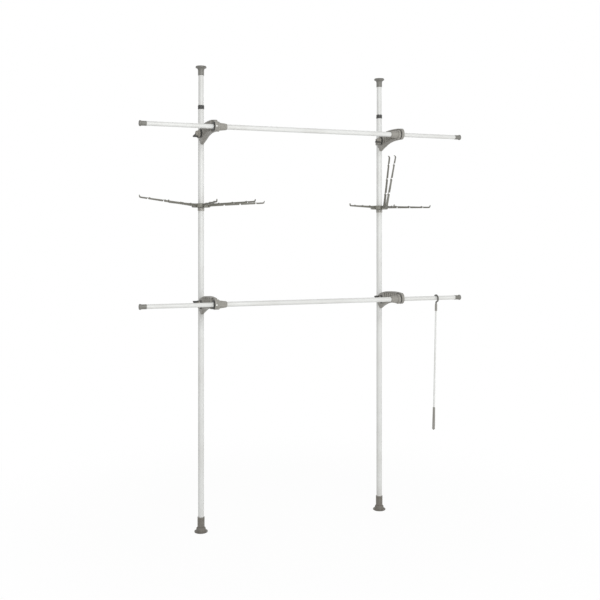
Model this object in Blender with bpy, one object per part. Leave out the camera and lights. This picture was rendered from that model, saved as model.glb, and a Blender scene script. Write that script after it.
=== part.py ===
"""A telescopic clothes rack that is clamped between floor and ceiling.

Two telescopic poles carry two telescopic rails on curved brackets, two carousels of folding
hooks and a reach stick. Metres, +Z up, +X along the rails to the right, -Y towards the room.
The origin is on the floor, midway between the two poles.
"""

import math
from typing import NamedTuple

import bmesh
import bpy
from mathutils import Matrix, Vector
from mathutils.geometry import interpolate_bezier

# Driving dimensions of the whole rack
HEIGHT = 2.400
POLE_SPACING = 1.020
RAIL_REACH = 0.249
UPPER_RAIL_HEIGHT = 2.062
LOWER_RAIL_HEIGHT = 1.190
RAIL_HALF_LENGTH = 0.879
CAROUSEL_HEIGHT = 1.684

# Tubes, with the running clearance that every touching pair keeps
GAP = 0.0003
WALL = 0.0012
LOWER_TUBE_RADIUS = 0.015
UPPER_TUBE_RADIUS = 0.0135
CENTRE_TUBE_RADIUS = 0.0125
END_TUBE_RADIUS = 0.011
UPPER_TUBE_INSERT = 0.500
END_TUBE_INSERT = 0.160

# Pole fittings, all turned about the pole
FOOT_RADIUS = 0.035
FOOT_PAD_THICKNESS = 0.0035
FOOT_SOCKET_FLOOR = 0.0135
FOOT_BASE_TOP = 0.0058
FOOT_STEP_RADIUS = 0.0245
FOOT_STEP_BOTTOM = 0.0118
FOOT_STEP_TOP = 0.0225
FOOT_SLEEVE_RADIUS = 0.0182
FOOT_SLEEVE_BOTTOM = 0.0270
FOOT_TOP = 0.078
COLLAR_BOTTOM = 2.178
COLLAR_TOP = 2.199
COLLAR_RADIUS = 0.0163
COLLAR_LIP = 0.009
CAP_RADIUS = 0.028
CAP_BOTTOM = 2.353
CAP_SLEEVE_RADIUS = 0.0156
CAP_PAD_THICKNESS = 0.003
CAP_FLANGE = 0.010
CAP_FLARE = 0.010
EDGE = 0.001

# Rail end caps
END_CAP_RADIUS = 0.0121
END_CAP_RIM = 0.0142
END_CAP_RIM_WIDTH = 0.0065
END_CAP_SLEEVE = 0.032
END_CAP_DOME = 0.0045

# Brackets, all four alike: forward is towards the room, and the eye stands to the right of the pole
EYE_RADIUS = 0.029
EYE_RISE = 0.004
EYE_START = 0.0
EYE_END = 0.0125
EYE_CLEARANCE = 0.0355
ARM_CENTRE = 0.002
ARM_HALF_AT_POLE = 0.017
ARM_HALF_AT_EYE = 0.012
ARM_BACK = 0.010
ARM_HEEL = (0.019, -0.067)
ARM_TOP_AT_POLE = 0.003
ARM_EDGE_ROUND = 0.002
ARM_WEB_HALF = 0.004
ARM_RIM = 0.006
HEEL_TAPER_TOP = -0.034
HEEL_TIP_HALF = 0.0055
CLAMP_RADIUS = 0.0205
CLAMP_BOTTOM = -0.032
SLIT_WIDTH = 0.002
SLIT_DEPTH = 0.068
POCKET_START = 0.078
POCKET_END = 0.212
POCKET_COUNT = 6
RIB_THICKNESS = 0.004
SCREW_FORWARD = 0.052
SCREW_HEIGHT = -0.014
SCREW_RADIUS = 0.004
SCREW_PLAY = 0.0004
BEYOND = 0.1

# Dark bushes on the left face of each eye
BUSH_RADIUS = 0.0222
BUSH_START = -0.0055

# Lock button that pins the centre tube in the front of a left eye
BUTTON_RADIUS = 0.0042
BUTTON_PROUD = 0.0012
BUTTON_PLACE = EYE_END / 2.0

# Collet nuts that grip the centre tube on the inner side of each bracket
NUT_RING_RADIUS = 0.025
NUT_RING_LENGTH = 0.0122
NUT_CONE_WIDE = 0.0196
NUT_CONE_NARROW = 0.0152
NUT_LENGTH = 0.051
GRIP_DEPTH = 0.0008

# Clamp knobs: a bell with one wing that ends in a tip beside the axis
KNOB_BASE_RADIUS = 0.0205
KNOB_BASE = 0.006
KNOB_WAIST_RADIUS = 0.0105
KNOB_WAIST = 0.020
KNOB_CROWN = 0.027
KNOB_TIP_OFFSET = 0.016
KNOB_TIP_RADIUS = 0.0042
KNOB_LENGTH = 0.043
KNOB_BLADE = 0.0065

# Hook carousels
HOOK_COUNT = 5
HOOK_SPACING = math.radians(41.0)
HUB_RADIUS = 0.048
HUB_BOTTOM = -0.013
HUB_TOP = 0.009
HUB_SHOULDER = 0.004
HUB_BORE = LOWER_TUBE_RADIUS + 2 * GAP
HUB_BOSS_BELOW = 0.022
HUB_BOSS_ABOVE = 0.026
SLOT_WIDTH = 0.0066
SLOT_START = 0.031
SLOT_FLOOR = -0.0098
PIVOT_RADIUS = 0.040
PIN_RADIUS = 0.002
PIN_ANCHOR = 0.002
SLEEVE_BOTTOM = -0.030
SLEEVE_RADIUS = 0.0174

# Folding hooks, measured from the pivot
HOOK_LENGTH = 0.293
HOOK_THICKNESS = 0.006
HOOK_ROOT = 0.0074
HOOK_TOP = 0.0062
HOOK_TOP_FALL = 0.0020
HOOK_BOTTOM = -0.0066
HOOK_BOTTOM_RISE = 0.0036
HOOK_BEND = 0.014
HOOK_TIP_RISE = 0.0125
HOOK_TIP_WIDTH = 0.004
HOOK_NOTCHES = (0.080, 0.163, 0.246)
NOTCH_HALF_WIDTH = 0.004
NOTCH_BRIDGE = 0.0032
NOTCH_CORNER = 0.0015
TOOTH_RISE = 0.0026
TOOTH_WIDTH = 0.010

# Reach stick, hung over the right end of the lower rail
STICK_PLACE = 0.729
STICK_LEAN = math.radians(2.3)
STICK_TURN = math.radians(2.0)
STICK_WIRE = 0.0032
STICK_BOW = 0.019
STICK_NECK = -0.0245
FERRULE_TOP = -0.029
FERRULE_BOTTOM = -0.070
FERRULE_RADIUS = 0.0062
FERRULE_SHOULDER = 0.006
ROD_RADIUS = 0.004
ROD_BOTTOM = -0.606
ROD_SOCKET = 0.015
HANDLE_TOP = -0.594
HANDLE_TOP_RADIUS = 0.0056
HANDLE_LOW_RADIUS = 0.0073
HANDLE_NECK = -0.702
HANDLE_NECK_RADIUS = 0.0062
HANDLE_BULB = -0.710
HANDLE_BULB_RADIUS = 0.0080
HANDLE_BOTTOM = -0.719

# Facets round a turned fitting or tube, and round a fluted grip
SIDES = 18
GRIP_SIDES = 21


class Finish(NamedTuple):
    """Colour as red, green and blue from 0 to 255, with the surface's roughness and metal share."""

    colour: tuple
    roughness: float
    metallic: float


POWDER_COAT = Finish((232, 232, 229), 0.42, 0.0)
GREY_MOULDING = Finish((146, 144, 138), 0.55, 0.0)
DARK_MOULDING = Finish((84, 84, 82), 0.50, 0.0)
WHITE_MOULDING = Finish((238, 238, 235), 0.45, 0.0)
HOOK_MOULDING = Finish((104, 103, 96), 0.50, 0.0)
FOOT_RUBBER = Finish((112, 108, 103), 0.75, 0.0)


class Carousel(NamedTuple):
    """A carousel's facing, from the front towards the left, and its hooks' tilts, all in degrees."""

    facing: float
    tilts: tuple


CAROUSELS = {
    "left": Carousel(1.5, (7.0, 1.0, 1.5, 2.5, 2.5)),
    "right": Carousel(-28.3, (0.0, -1.5, -1.5, 79.5, 81.0)),
}
SIDE_SIGN = {"left": -1.0, "right": 1.0}
RAILS = {"upper": UPPER_RAIL_HEIGHT, "lower": LOWER_RAIL_HEIGHT}
KNOB_TURN = {
    ("upper", "left"): -85.0,
    ("upper", "right"): -30.0,
    ("lower", "left"): 80.0,
    ("lower", "right"): 75.0,
}
ALONG_X = Matrix.Rotation(math.radians(90.0), 4, "Y")
AGAINST_X = Matrix.Rotation(math.radians(-90.0), 4, "Y")
TOWARDS_ROOM = Matrix.Rotation(math.radians(90.0), 4, "X")


def clear_scene():
    """Empty the scene of every object."""
    for thing in list(bpy.data.objects):
        bpy.data.objects.remove(thing, do_unlink=True)


def linear(channel):
    """A display channel from 0 to 255 as a linear value."""
    share = channel / 255.0
    if share <= 0.04045:
        return share / 12.92
    return ((share + 0.055) / 1.055) ** 2.4


def material_of(name, finish):
    """A Principled material for one piece."""
    material = bpy.data.materials.new(name)
    material.use_nodes = True
    shader = material.node_tree.nodes["Principled BSDF"]
    shader.inputs["Base Color"].default_value = (*[linear(c) for c in finish.colour], 1.0)
    shader.inputs["Roughness"].default_value = finish.roughness
    shader.inputs["Metallic"].default_value = finish.metallic
    return material


def anchor(name, location, rotation=(0.0, 0.0, 0.0)):
    """An empty that carries the pieces of one sub-assembly."""
    empty = bpy.data.objects.new(name, None)
    empty.location = location
    empty.rotation_euler = rotation
    bpy.context.collection.objects.link(empty)
    return empty


def place(name, form, finish, parent, location=(0.0, 0.0, 0.0), rotation=(0.0, 0.0, 0.0)):
    """Turn a finished form into a named object with its own material."""
    mesh = bpy.data.meshes.new(name)
    form.to_mesh(mesh)
    form.free()
    mesh.shade_smooth()
    mesh.set_sharp_from_angle(angle=math.radians(32.0))
    mesh.materials.append(material_of(name, finish))
    piece = bpy.data.objects.new(name, mesh)
    piece.parent = parent
    piece.location = location
    piece.rotation_euler = rotation
    bpy.context.collection.objects.link(piece)
    return piece


def facing_out(form):
    """Point every face of a closed form outwards."""
    bmesh.ops.recalc_face_normals(form, faces=form.faces)
    return form


def turned(profile, sides=SIDES, grip=0.0):
    """Turn a closed loop of (radius, height) points about Z; points on the axis close the form.

    A grip depth presses shallow flutes into the widest rings.
    """
    form = bmesh.new()
    widest = max(radius for radius, _ in profile)
    rings = []
    for radius, height in profile:
        if radius == 0.0:
            rings.append([form.verts.new((0.0, 0.0, height))])
            continue
        ring = []
        for step in range(sides):
            fluted = step % 3 == 0 and radius > widest - GAP
            reach = radius - grip if fluted else radius
            angle = 2.0 * math.pi * step / sides
            ring.append(form.verts.new((reach * math.cos(angle), reach * math.sin(angle), height)))
        rings.append(ring)
    for ring, following in zip(rings, rings[1:] + rings[:1]):
        if len(ring) == 1 and len(following) == 1:
            continue
        for step in range(sides):
            ahead = (step + 1) % sides
            if len(ring) == 1:
                form.faces.new((ring[0], following[ahead], following[step]))
            elif len(following) == 1:
                form.faces.new((ring[step], ring[ahead], following[0]))
            else:
                form.faces.new((ring[step], ring[ahead], following[ahead], following[step]))
    return facing_out(form)


def tube(radius, low, high):
    """A thin round tube, open at both ends."""
    bore = radius - WALL
    return turned([(radius, low), (radius, high), (bore, high), (bore, low)])


def rounded(centre, radius, start, end, steps):
    """Points on an arc, in degrees, from start to end."""
    points = []
    for step in range(steps + 1):
        angle = math.radians(start + (end - start) * step / steps)
        points.append((centre[0] + radius * math.cos(angle), centre[1] + radius * math.sin(angle)))
    return points


def bezier(start, first, second, end, count):
    """Points on a cubic curve between two plane points."""
    knots = [Vector((x, y, 0.0)) for x, y in (start, first, second, end)]
    return [(p.x, p.y) for p in interpolate_bezier(*knots, count)]


def slab(outline, low, high, taper=0.0, edge_round=0.0):
    """A plate of (forward, up) points from low to high along X, thinner forwards by the taper."""
    form = bmesh.new()
    near = [form.verts.new((low + taper * f, -f, up)) for f, up in outline]
    far = [form.verts.new((high - taper * f, -f, up)) for f, up in outline]
    sides = [form.faces.new(near), form.faces.new(far)]
    for step in range(len(outline)):
        ahead = (step + 1) % len(outline)
        form.faces.new((near[step], near[ahead], far[ahead], far[step]))
    facing_out(form)
    if edge_round:
        rims = [edge for side in sides for edge in side.edges]
        bmesh.ops.bevel(form, geom=rims, offset=edge_round, segments=1, affect="EDGES")
    return form


def moved(form, matrix):
    """The same form after a transform, with its faces turned over when the transform mirrors it."""
    form.transform(matrix)
    if matrix.determinant() < 0.0:
        bmesh.ops.reverse_faces(form, faces=form.faces)
    return form


def box(low, high):
    """A block between two corners."""
    form = bmesh.new()
    bmesh.ops.create_cube(form, size=1.0)
    middle = (Vector(low) + Vector(high)) / 2.0
    size = Vector(high) - Vector(low)
    return moved(form, Matrix.Translation(middle) @ Matrix.Diagonal((*size, 1.0)))


def rod(radius, low, high, sides=12):
    """A solid round bar along Z."""
    return turned([(0.0, low), (radius, low), (radius, high), (0.0, high)], sides)


def combined(body, tool, operation):
    """The body after a Boolean operation with a tool; both forms are used up."""
    holders = []
    for form in (body, tool):
        mesh = bpy.data.meshes.new("working")
        form.to_mesh(mesh)
        form.free()
        holder = bpy.data.objects.new("working", mesh)
        bpy.context.collection.objects.link(holder)
        holders.append(holder)
    step = holders[0].modifiers.new("Boolean", "BOOLEAN")
    step.operation = operation
    step.solver = "EXACT"
    step.object = holders[1]
    result = bmesh.new()
    result.from_object(holders[0], bpy.context.evaluated_depsgraph_get())
    for holder in holders:
        mesh = holder.data
        bpy.data.objects.remove(holder, do_unlink=True)
        bpy.data.meshes.remove(mesh)
    return result


def cut(body, tool):
    """The body without the space that the tool takes."""
    return combined(body, tool, "DIFFERENCE")


def joined(body, other):
    """Two overlapping forms as one."""
    return combined(body, other, "UNION")


# Poles
def foot_form():
    """Stepped bell foot with a socket for the lower tube."""
    socket = LOWER_TUBE_RADIUS + GAP
    sole = FOOT_PAD_THICKNESS + GAP
    profile = [(0.0, FOOT_SOCKET_FLOOR), (socket, FOOT_SOCKET_FLOOR), (socket, FOOT_TOP)]
    profile += [(FOOT_SLEEVE_RADIUS - EDGE, FOOT_TOP), (FOOT_SLEEVE_RADIUS - EDGE / 2.0, FOOT_TOP - EDGE)]
    profile += [(FOOT_SLEEVE_RADIUS, FOOT_SLEEVE_BOTTOM), (FOOT_STEP_RADIUS - EDGE, FOOT_STEP_TOP)]
    profile += [(FOOT_STEP_RADIUS + EDGE, FOOT_STEP_BOTTOM)]
    profile += bezier((FOOT_STEP_RADIUS + 2.0 * EDGE, FOOT_STEP_BOTTOM - EDGE),
                      (FOOT_STEP_RADIUS + 3.0 * EDGE, FOOT_BASE_TOP + EDGE),
                      (FOOT_RADIUS - 2.0 * EDGE, FOOT_BASE_TOP + EDGE), (FOOT_RADIUS, FOOT_BASE_TOP), 3)
    profile += [(FOOT_RADIUS, sole), (0.0, sole)]
    return turned(profile)


def foot_pad_form():
    """Rubber sole under the foot."""
    edge = FOOT_RADIUS - EDGE
    profile = [(0.0, 0.0), (edge - EDGE, 0.0), (edge, EDGE)]
    profile += [(edge, FOOT_PAD_THICKNESS), (0.0, FOOT_PAD_THICKNESS)]
    return turned(profile)


def collar_form():
    """Twist collar that locks the upper tube: a skirt on the lower tube and a lip over its end."""
    skirt = LOWER_TUBE_RADIUS + GAP
    lip = UPPER_TUBE_RADIUS + GAP
    shelf = COLLAR_TOP - COLLAR_LIP
    profile = [(skirt, COLLAR_BOTTOM), (COLLAR_RADIUS - EDGE / 2.0, COLLAR_BOTTOM)]
    profile += [(COLLAR_RADIUS, COLLAR_BOTTOM + 2.0 * EDGE), (COLLAR_RADIUS, COLLAR_TOP - 3.0 * EDGE)]
    profile += [(COLLAR_RADIUS - EDGE, COLLAR_TOP), (lip, COLLAR_TOP), (lip, shelf), (skirt, shelf)]
    return turned(profile, GRIP_SIDES, GRIP_DEPTH)


def ceiling_cap_form():
    """Ceiling plate with a sleeve that takes the upper tube."""
    socket = UPPER_TUBE_RADIUS + GAP
    top = HEIGHT - CAP_PAD_THICKNESS - GAP
    under = top - CAP_FLANGE
    flare = bezier((CAP_SLEEVE_RADIUS, under - CAP_FLARE), (CAP_SLEEVE_RADIUS, under - CAP_FLARE / 4.0),
                   (CAP_SLEEVE_RADIUS + EDGE, under), (CAP_RADIUS - EDGE, under), 4)
    profile = [(0.0, under), (socket, under), (socket, CAP_BOTTOM)]
    profile += [(CAP_SLEEVE_RADIUS, CAP_BOTTOM)] + flare
    profile += [(CAP_RADIUS, under + EDGE), (CAP_RADIUS, top), (0.0, top)]
    return turned(profile)


def ceiling_pad_form():
    """Rubber disc on the ceiling plate."""
    low = HEIGHT - CAP_PAD_THICKNESS
    edge = CAP_RADIUS - EDGE
    profile = [(0.0, low), (edge, low), (edge, HEIGHT - EDGE), (edge - EDGE, HEIGHT), (0.0, HEIGHT)]
    return turned(profile)


def build_pole(side):
    """One telescopic pole from the floor to the ceiling."""
    pole = anchor(f"{side}_pole", (SIDE_SIGN[side] * POLE_SPACING / 2.0, 0.0, 0.0))
    shelf = COLLAR_TOP - COLLAR_LIP - GAP
    socket_top = HEIGHT - CAP_PAD_THICKNESS - CAP_FLANGE - 2.0 * GAP
    lower = tube(LOWER_TUBE_RADIUS, FOOT_SOCKET_FLOOR + GAP, shelf)
    upper = tube(UPPER_TUBE_RADIUS, COLLAR_TOP - UPPER_TUBE_INSERT, socket_top)
    place(f"{side}_foot", foot_form(), FOOT_RUBBER, pole)
    place(f"{side}_foot_pad", foot_pad_form(), FOOT_RUBBER, pole)
    place(f"{side}_lower_tube", lower, POWDER_COAT, pole)
    place(f"{side}_lock_collar", collar_form(), DARK_MOULDING, pole)
    place(f"{side}_upper_tube", upper, POWDER_COAT, pole)
    place(f"{side}_ceiling_cap", ceiling_cap_form(), GREY_MOULDING, pole)
    place(f"{side}_ceiling_pad", ceiling_pad_form(), FOOT_RUBBER, pole)


# Brackets
def arm_underside(count):
    """The concave lower edge, from the heel on the pole to the bottom of the eye."""
    return bezier(ARM_HEEL, (0.062, -0.032), (0.140, -0.020), (RAIL_REACH, EYE_RISE - EYE_RADIUS), count)


def arm_crest(count):
    """The convex upper edge, which climbs from the clamp and falls to the top of the eye."""
    start = (ARM_BACK, ARM_TOP_AT_POLE)
    return bezier(start, (0.045, 0.034), (0.150, 0.040), (RAIL_REACH, EYE_RISE + EYE_RADIUS), count)


def height_at(curve, forward):
    """The height of a curve of (forward, up) points at one distance from the pole."""
    for (f0, z0), (f1, z1) in zip(curve, curve[1:]):
        if f0 <= forward <= f1:
            return z0 + (z1 - z0) * (forward - f0) / (f1 - f0)
    return curve[-1][1]


def arm_outline():
    """Side view of the bracket: heel, underside, round eye, crest."""
    eye = rounded((RAIL_REACH, EYE_RISE), EYE_RADIUS, -90.0, 90.0, 9)
    tip = ARM_HEEL[1]
    heel = [(ARM_BACK, ARM_TOP_AT_POLE), (ARM_BACK, tip + 4.0 * EDGE), (ARM_BACK + 4.0 * EDGE, tip)]
    return heel + arm_underside(9)[:-1] + eye + arm_crest(8)[-2:0:-1]


def pocket_forms(side_low, side_high):
    """Hollows between the ribs on one side of the bracket, as plates from low to high."""
    underside = arm_underside(40)
    crest = arm_crest(40)
    pitch = (POCKET_END - POCKET_START) / POCKET_COUNT
    pockets = []
    for number in range(POCKET_COUNT):
        start = POCKET_START + number * pitch
        end = start + pitch - RIB_THICKNESS
        low = [(f, height_at(underside, f) + ARM_RIM) for f in (start, end)]
        high = [(f, height_at(crest, f) - ARM_RIM) for f in (end, start)]
        pockets.append(slab(low + high, side_low, side_high))
    return pockets


def heel_wedge(hand):
    """The space beside the heel, which narrows to its tip, on one hand of the arm."""
    wide = ARM_HALF_AT_POLE + EDGE
    low = ARM_HEEL[1] - EDGE
    near = ARM_CENTRE + hand * HEEL_TIP_HALF
    far = ARM_CENTRE + hand * BEYOND
    outline = [(near, low), (ARM_CENTRE + hand * wide, HEEL_TAPER_TOP), (far, HEEL_TAPER_TOP)]
    outline += [(far, -BEYOND), (near, -BEYOND)]
    return moved(slab(outline, -BEYOND, BEYOND), Matrix.Rotation(math.radians(90.0), 4, "Z"))


def arm_form(has_button):
    """A moulded bracket: pole clamp, ribbed arm with an arched underside, and an eye for the rail."""
    taper = (ARM_HALF_AT_POLE - ARM_HALF_AT_EYE) / RAIL_REACH
    low = ARM_CENTRE - ARM_HALF_AT_POLE
    high = ARM_CENTRE + ARM_HALF_AT_POLE
    form = slab(arm_outline(), low, high, taper, ARM_EDGE_ROUND)
    eye = Matrix.Translation((0.0, -RAIL_REACH, 0.0)) @ ALONG_X
    form = cut(form, moved(rod(EYE_CLEARANCE, -BEYOND, EYE_START, GRIP_SIDES), eye))
    form = cut(form, moved(rod(EYE_CLEARANCE, EYE_END, BEYOND, GRIP_SIDES), eye))
    for hand in SIDE_SIGN.values():
        form = cut(form, heel_wedge(hand))
    form = joined(form, rod(CLAMP_RADIUS, CLAMP_BOTTOM, ARM_TOP_AT_POLE - GAP, SIDES))
    form = cut(form, rod(LOWER_TUBE_RADIUS + GAP, -BEYOND, BEYOND, SIDES))
    slit = SLIT_WIDTH / 2.0
    form = cut(form, box((-slit, -SLIT_DEPTH, -BEYOND), (slit, 0.0, BEYOND)))
    screw = Matrix.Translation((0.0, -SCREW_FORWARD, SCREW_HEIGHT)) @ ALONG_X
    form = cut(form, moved(rod(SCREW_RADIUS + SCREW_PLAY, -BEYOND, BEYOND), screw))
    form = cut(form, moved(rod(CENTRE_TUBE_RADIUS + GAP, -BEYOND, BEYOND, SIDES), eye))
    if has_button:
        front = Matrix.Translation((BUTTON_PLACE, -RAIL_REACH, 0.0)) @ TOWARDS_ROOM
        form = cut(form, moved(rod(BUTTON_RADIUS + GAP, 0.0, BEYOND, SIDES), front))
    pockets = pocket_forms(ARM_CENTRE + ARM_WEB_HALF, BEYOND)
    pockets += pocket_forms(-BEYOND, ARM_CENTRE - ARM_WEB_HALF)
    for pocket in pockets:
        form = cut(form, pocket)
    return form


def bush_form():
    """Dark bush against the left face of an eye, about the centre tube."""
    bore = CENTRE_TUBE_RADIUS + GAP
    end = EYE_START - GAP
    profile = [(bore, BUSH_START), (BUSH_RADIUS - EDGE, BUSH_START), (BUSH_RADIUS, BUSH_START + EDGE)]
    profile += [(BUSH_RADIUS, end), (bore, end)]
    return turned(profile)


def button_form():
    """Lock button along +Z from the rail's axis, with a domed head just proud of the eye."""
    head = EYE_RADIUS + BUTTON_PROUD
    profile = [(0.0, CENTRE_TUBE_RADIUS + GAP), (BUTTON_RADIUS, CENTRE_TUBE_RADIUS + GAP)]
    profile += [(BUTTON_RADIUS, head - EDGE), (BUTTON_RADIUS - EDGE, head - EDGE / 4.0), (0.0, head)]
    return turned(profile)


def nut_form():
    """Collet nut from its seat: a fluted ring and a cone that closes on the centre tube."""
    bore = CENTRE_TUBE_RADIUS + GAP
    profile = [(bore, 0.0), (NUT_RING_RADIUS, 0.0), (NUT_RING_RADIUS, NUT_RING_LENGTH - EDGE)]
    profile += [(NUT_RING_RADIUS - EDGE, NUT_RING_LENGTH), (NUT_CONE_WIDE, NUT_RING_LENGTH + GAP)]
    profile += [(NUT_CONE_NARROW, NUT_LENGTH - 3.0 * EDGE), (NUT_CONE_NARROW - EDGE, NUT_LENGTH)]
    profile += [(bore, NUT_LENGTH)]
    return turned(profile, GRIP_SIDES, GRIP_DEPTH)


def knob_form(shank):
    """Clamp knob along +Z from its seat, with a screw that reaches back through the clamp."""
    bell = [(0.0, -shank), (SCREW_RADIUS, -shank), (SCREW_RADIUS, 0.0), (KNOB_BASE_RADIUS, 0.0)]
    bell += [(KNOB_BASE_RADIUS, KNOB_BASE), (KNOB_WAIST_RADIUS, KNOB_WAIST), (0.0, KNOB_CROWN)]
    tip = (KNOB_TIP_OFFSET, KNOB_LENGTH - KNOB_TIP_RADIUS)
    wing = [(-KNOB_WAIST_RADIUS / 2.0, KNOB_WAIST / 2.0), (KNOB_BASE_RADIUS - EDGE, KNOB_BASE)]
    wing += rounded(tip, KNOB_TIP_RADIUS, -10.0, 160.0, 5)
    wing += [(0.0, KNOB_CROWN - EDGE)]
    return joined(turned(bell, 14), slab(wing, -KNOB_BLADE / 2.0, KNOB_BLADE / 2.0, 0.0, EDGE))


def build_bracket(rail, side, carrier):
    """A bracket with its bush, collet nut and clamp knob; the knob is on the left of either pole."""
    outward = SIDE_SIGN[side]
    pole = outward * POLE_SPACING / 2.0
    inward = AGAINST_X if outward > 0.0 else ALONG_X
    nut_seat = BUSH_START - GAP if outward > 0.0 else EYE_END + GAP
    taper = (ARM_HALF_AT_POLE - ARM_HALF_AT_EYE) / RAIL_REACH
    half = ARM_HALF_AT_POLE - taper * SCREW_FORWARD
    seat = half - ARM_CENTRE + 2.0 * GAP
    turn = math.radians(KNOB_TURN[rail, side])
    knob = moved(knob_form(2.0 * half), AGAINST_X @ Matrix.Rotation(turn, 4, "Z"))
    bush = moved(bush_form(), ALONG_X)
    nut = moved(nut_form(), inward)
    spot = (pole - seat, RAIL_REACH - SCREW_FORWARD, SCREW_HEIGHT)
    has_button = side == "left"
    place(f"{rail}_{side}_bracket", arm_form(has_button), GREY_MOULDING, carrier, (pole, RAIL_REACH, 0.0))
    if has_button:
        button = moved(button_form(), TOWARDS_ROOM)
        place(f"{rail}_{side}_button", button, WHITE_MOULDING, carrier, (pole + BUTTON_PLACE, 0.0, 0.0))
    place(f"{rail}_{side}_bush", bush, DARK_MOULDING, carrier, (pole, 0.0, 0.0))
    place(f"{rail}_{side}_nut", nut, GREY_MOULDING, carrier, (pole + nut_seat, 0.0, 0.0))
    place(f"{rail}_{side}_knob", knob, GREY_MOULDING, carrier, spot)


# Rails
def end_cap_form():
    """Push-on cap with a rim at its outer end; its height runs outwards from the end of the tube."""
    bore = END_TUBE_RADIUS + GAP
    rim_start = EDGE - END_CAP_RIM_WIDTH
    profile = [(0.0, GAP), (bore, GAP), (bore, -END_CAP_SLEEVE), (END_CAP_RADIUS, -END_CAP_SLEEVE)]
    profile += [(END_CAP_RADIUS, rim_start - EDGE), (END_CAP_RIM, rim_start + EDGE), (END_CAP_RIM, EDGE)]
    profile += [(END_CAP_RADIUS - EDGE, END_CAP_DOME - EDGE), (0.0, END_CAP_DOME)]
    return turned(profile)


def build_rail(rail):
    """A telescopic rail on its two brackets: a centre tube and a sliding tube at each end."""
    carrier = anchor(f"{rail}_rail", (0.0, -RAIL_REACH, RAILS[rail]))
    left_end = BUSH_START + EDGE - POLE_SPACING / 2.0
    right_end = POLE_SPACING / 2.0 + EYE_END - EDGE
    centre = moved(tube(CENTRE_TUBE_RADIUS, left_end, right_end), ALONG_X)
    place(f"{rail}_centre_tube", centre, POWDER_COAT, carrier)
    tube_end = RAIL_HALF_LENGTH - END_CAP_DOME
    tube_start = POLE_SPACING / 2.0 - END_TUBE_INSERT
    for side, outward in SIDE_SIGN.items():
        away = ALONG_X if outward > 0.0 else AGAINST_X
        end = (outward * tube_end, 0.0, 0.0)
        sliding = moved(tube(END_TUBE_RADIUS, tube_start - tube_end, 0.0), away)
        place(f"{rail}_{side}_end_tube", sliding, POWDER_COAT, carrier, end)
        place(f"{rail}_{side}_end_cap", moved(end_cap_form(), away), GREY_MOULDING, carrier, end)
        build_bracket(rail, side, carrier)


# Hook carousels
def hook_top(along):
    """Height of a hook's upper edge, which falls gently from the root to the tip."""
    return HOOK_TOP - HOOK_TOP_FALL * along / HOOK_LENGTH


def hook_bottom(along):
    """Height of a hook's lower edge, which rises from the root to the tip."""
    return HOOK_BOTTOM + HOOK_BOTTOM_RISE * along / HOOK_LENGTH


def hook_outline():
    """A hook from its pivot: root, notched lower edge, upturned tip, toothed upper edge."""
    outline = rounded((0.0, 0.0), HOOK_ROOT, 95.0, 250.0, 5)
    for place_along in HOOK_NOTCHES:
        roof = hook_top(place_along) - NOTCH_BRIDGE
        start = place_along - NOTCH_HALF_WIDTH
        end = place_along + NOTCH_HALF_WIDTH
        outline.append((start, hook_bottom(start)))
        outline.append((start + NOTCH_CORNER, roof))
        outline.append((end - NOTCH_CORNER, roof))
        outline.append((end, hook_bottom(end)))
    bend = HOOK_LENGTH - HOOK_BEND
    inner = HOOK_LENGTH - HOOK_TIP_WIDTH
    outline += bezier((bend, hook_bottom(bend)), (inner, hook_bottom(bend)),
                      (HOOK_LENGTH - EDGE, 0.0), (HOOK_LENGTH, HOOK_TIP_RISE - EDGE), 4)
    outline += [(HOOK_LENGTH - EDGE, HOOK_TIP_RISE), (inner + EDGE, HOOK_TIP_RISE - EDGE)]
    outline += bezier((inner - EDGE, hook_top(inner) + 2.0 * EDGE),
                      (inner - 2.0 * EDGE, hook_top(inner) + EDGE),
                      (bend + 2.0 * EDGE, hook_top(bend)), (bend - EDGE, hook_top(bend)), 3)
    for place_along in reversed(HOOK_NOTCHES):
        start = place_along - NOTCH_HALF_WIDTH - TOOTH_WIDTH
        outline.append((start + TOOTH_WIDTH, hook_top(start + TOOTH_WIDTH)))
        outline.append((start + TOOTH_WIDTH / 2.0, hook_top(start) + TOOTH_RISE))
        outline.append((start, hook_top(start)))
    return outline


def hook_form():
    """A folding hook about its pivot, reaching forwards, with a hole for the pin."""
    half = HOOK_THICKNESS / 2.0
    hole = moved(rod(PIN_RADIUS + GAP, -HOOK_THICKNESS, HOOK_THICKNESS, 8), ALONG_X)
    return cut(slab(hook_outline(), -half, half), hole)


def hub_form():
    """Carousel hub: a disc with a slot and a pin for each hook."""
    profile = [(HUB_BORE, HUB_BOTTOM), (HUB_BOSS_BELOW, HUB_BOTTOM)]
    profile += [(HUB_RADIUS - 3.0 * EDGE, HUB_BOTTOM + EDGE), (HUB_RADIUS, HUB_BOTTOM + 4.0 * EDGE)]
    profile += [(HUB_RADIUS, HUB_SHOULDER), (HUB_RADIUS - 2.0 * EDGE, HUB_SHOULDER + 2.0 * EDGE)]
    profile += [(HUB_BOSS_ABOVE, HUB_TOP), (HUB_BORE, HUB_TOP)]
    form = turned(profile, 24)
    half = SLOT_WIDTH / 2.0
    pin = half + PIN_ANCHOR
    for number in range(HOOK_COUNT):
        turn = Matrix.Rotation((number - 2) * HOOK_SPACING, 4, "Z")
        slot = box((-half, -BEYOND, SLOT_FLOOR), (half, -SLOT_START, BEYOND))
        form = cut(form, moved(slot, turn))
        seat = turn @ Matrix.Translation((0.0, -PIVOT_RADIUS, 0.0)) @ ALONG_X
        form = joined(form, moved(rod(PIN_RADIUS, -pin, pin, 8), seat))
    return form


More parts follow.
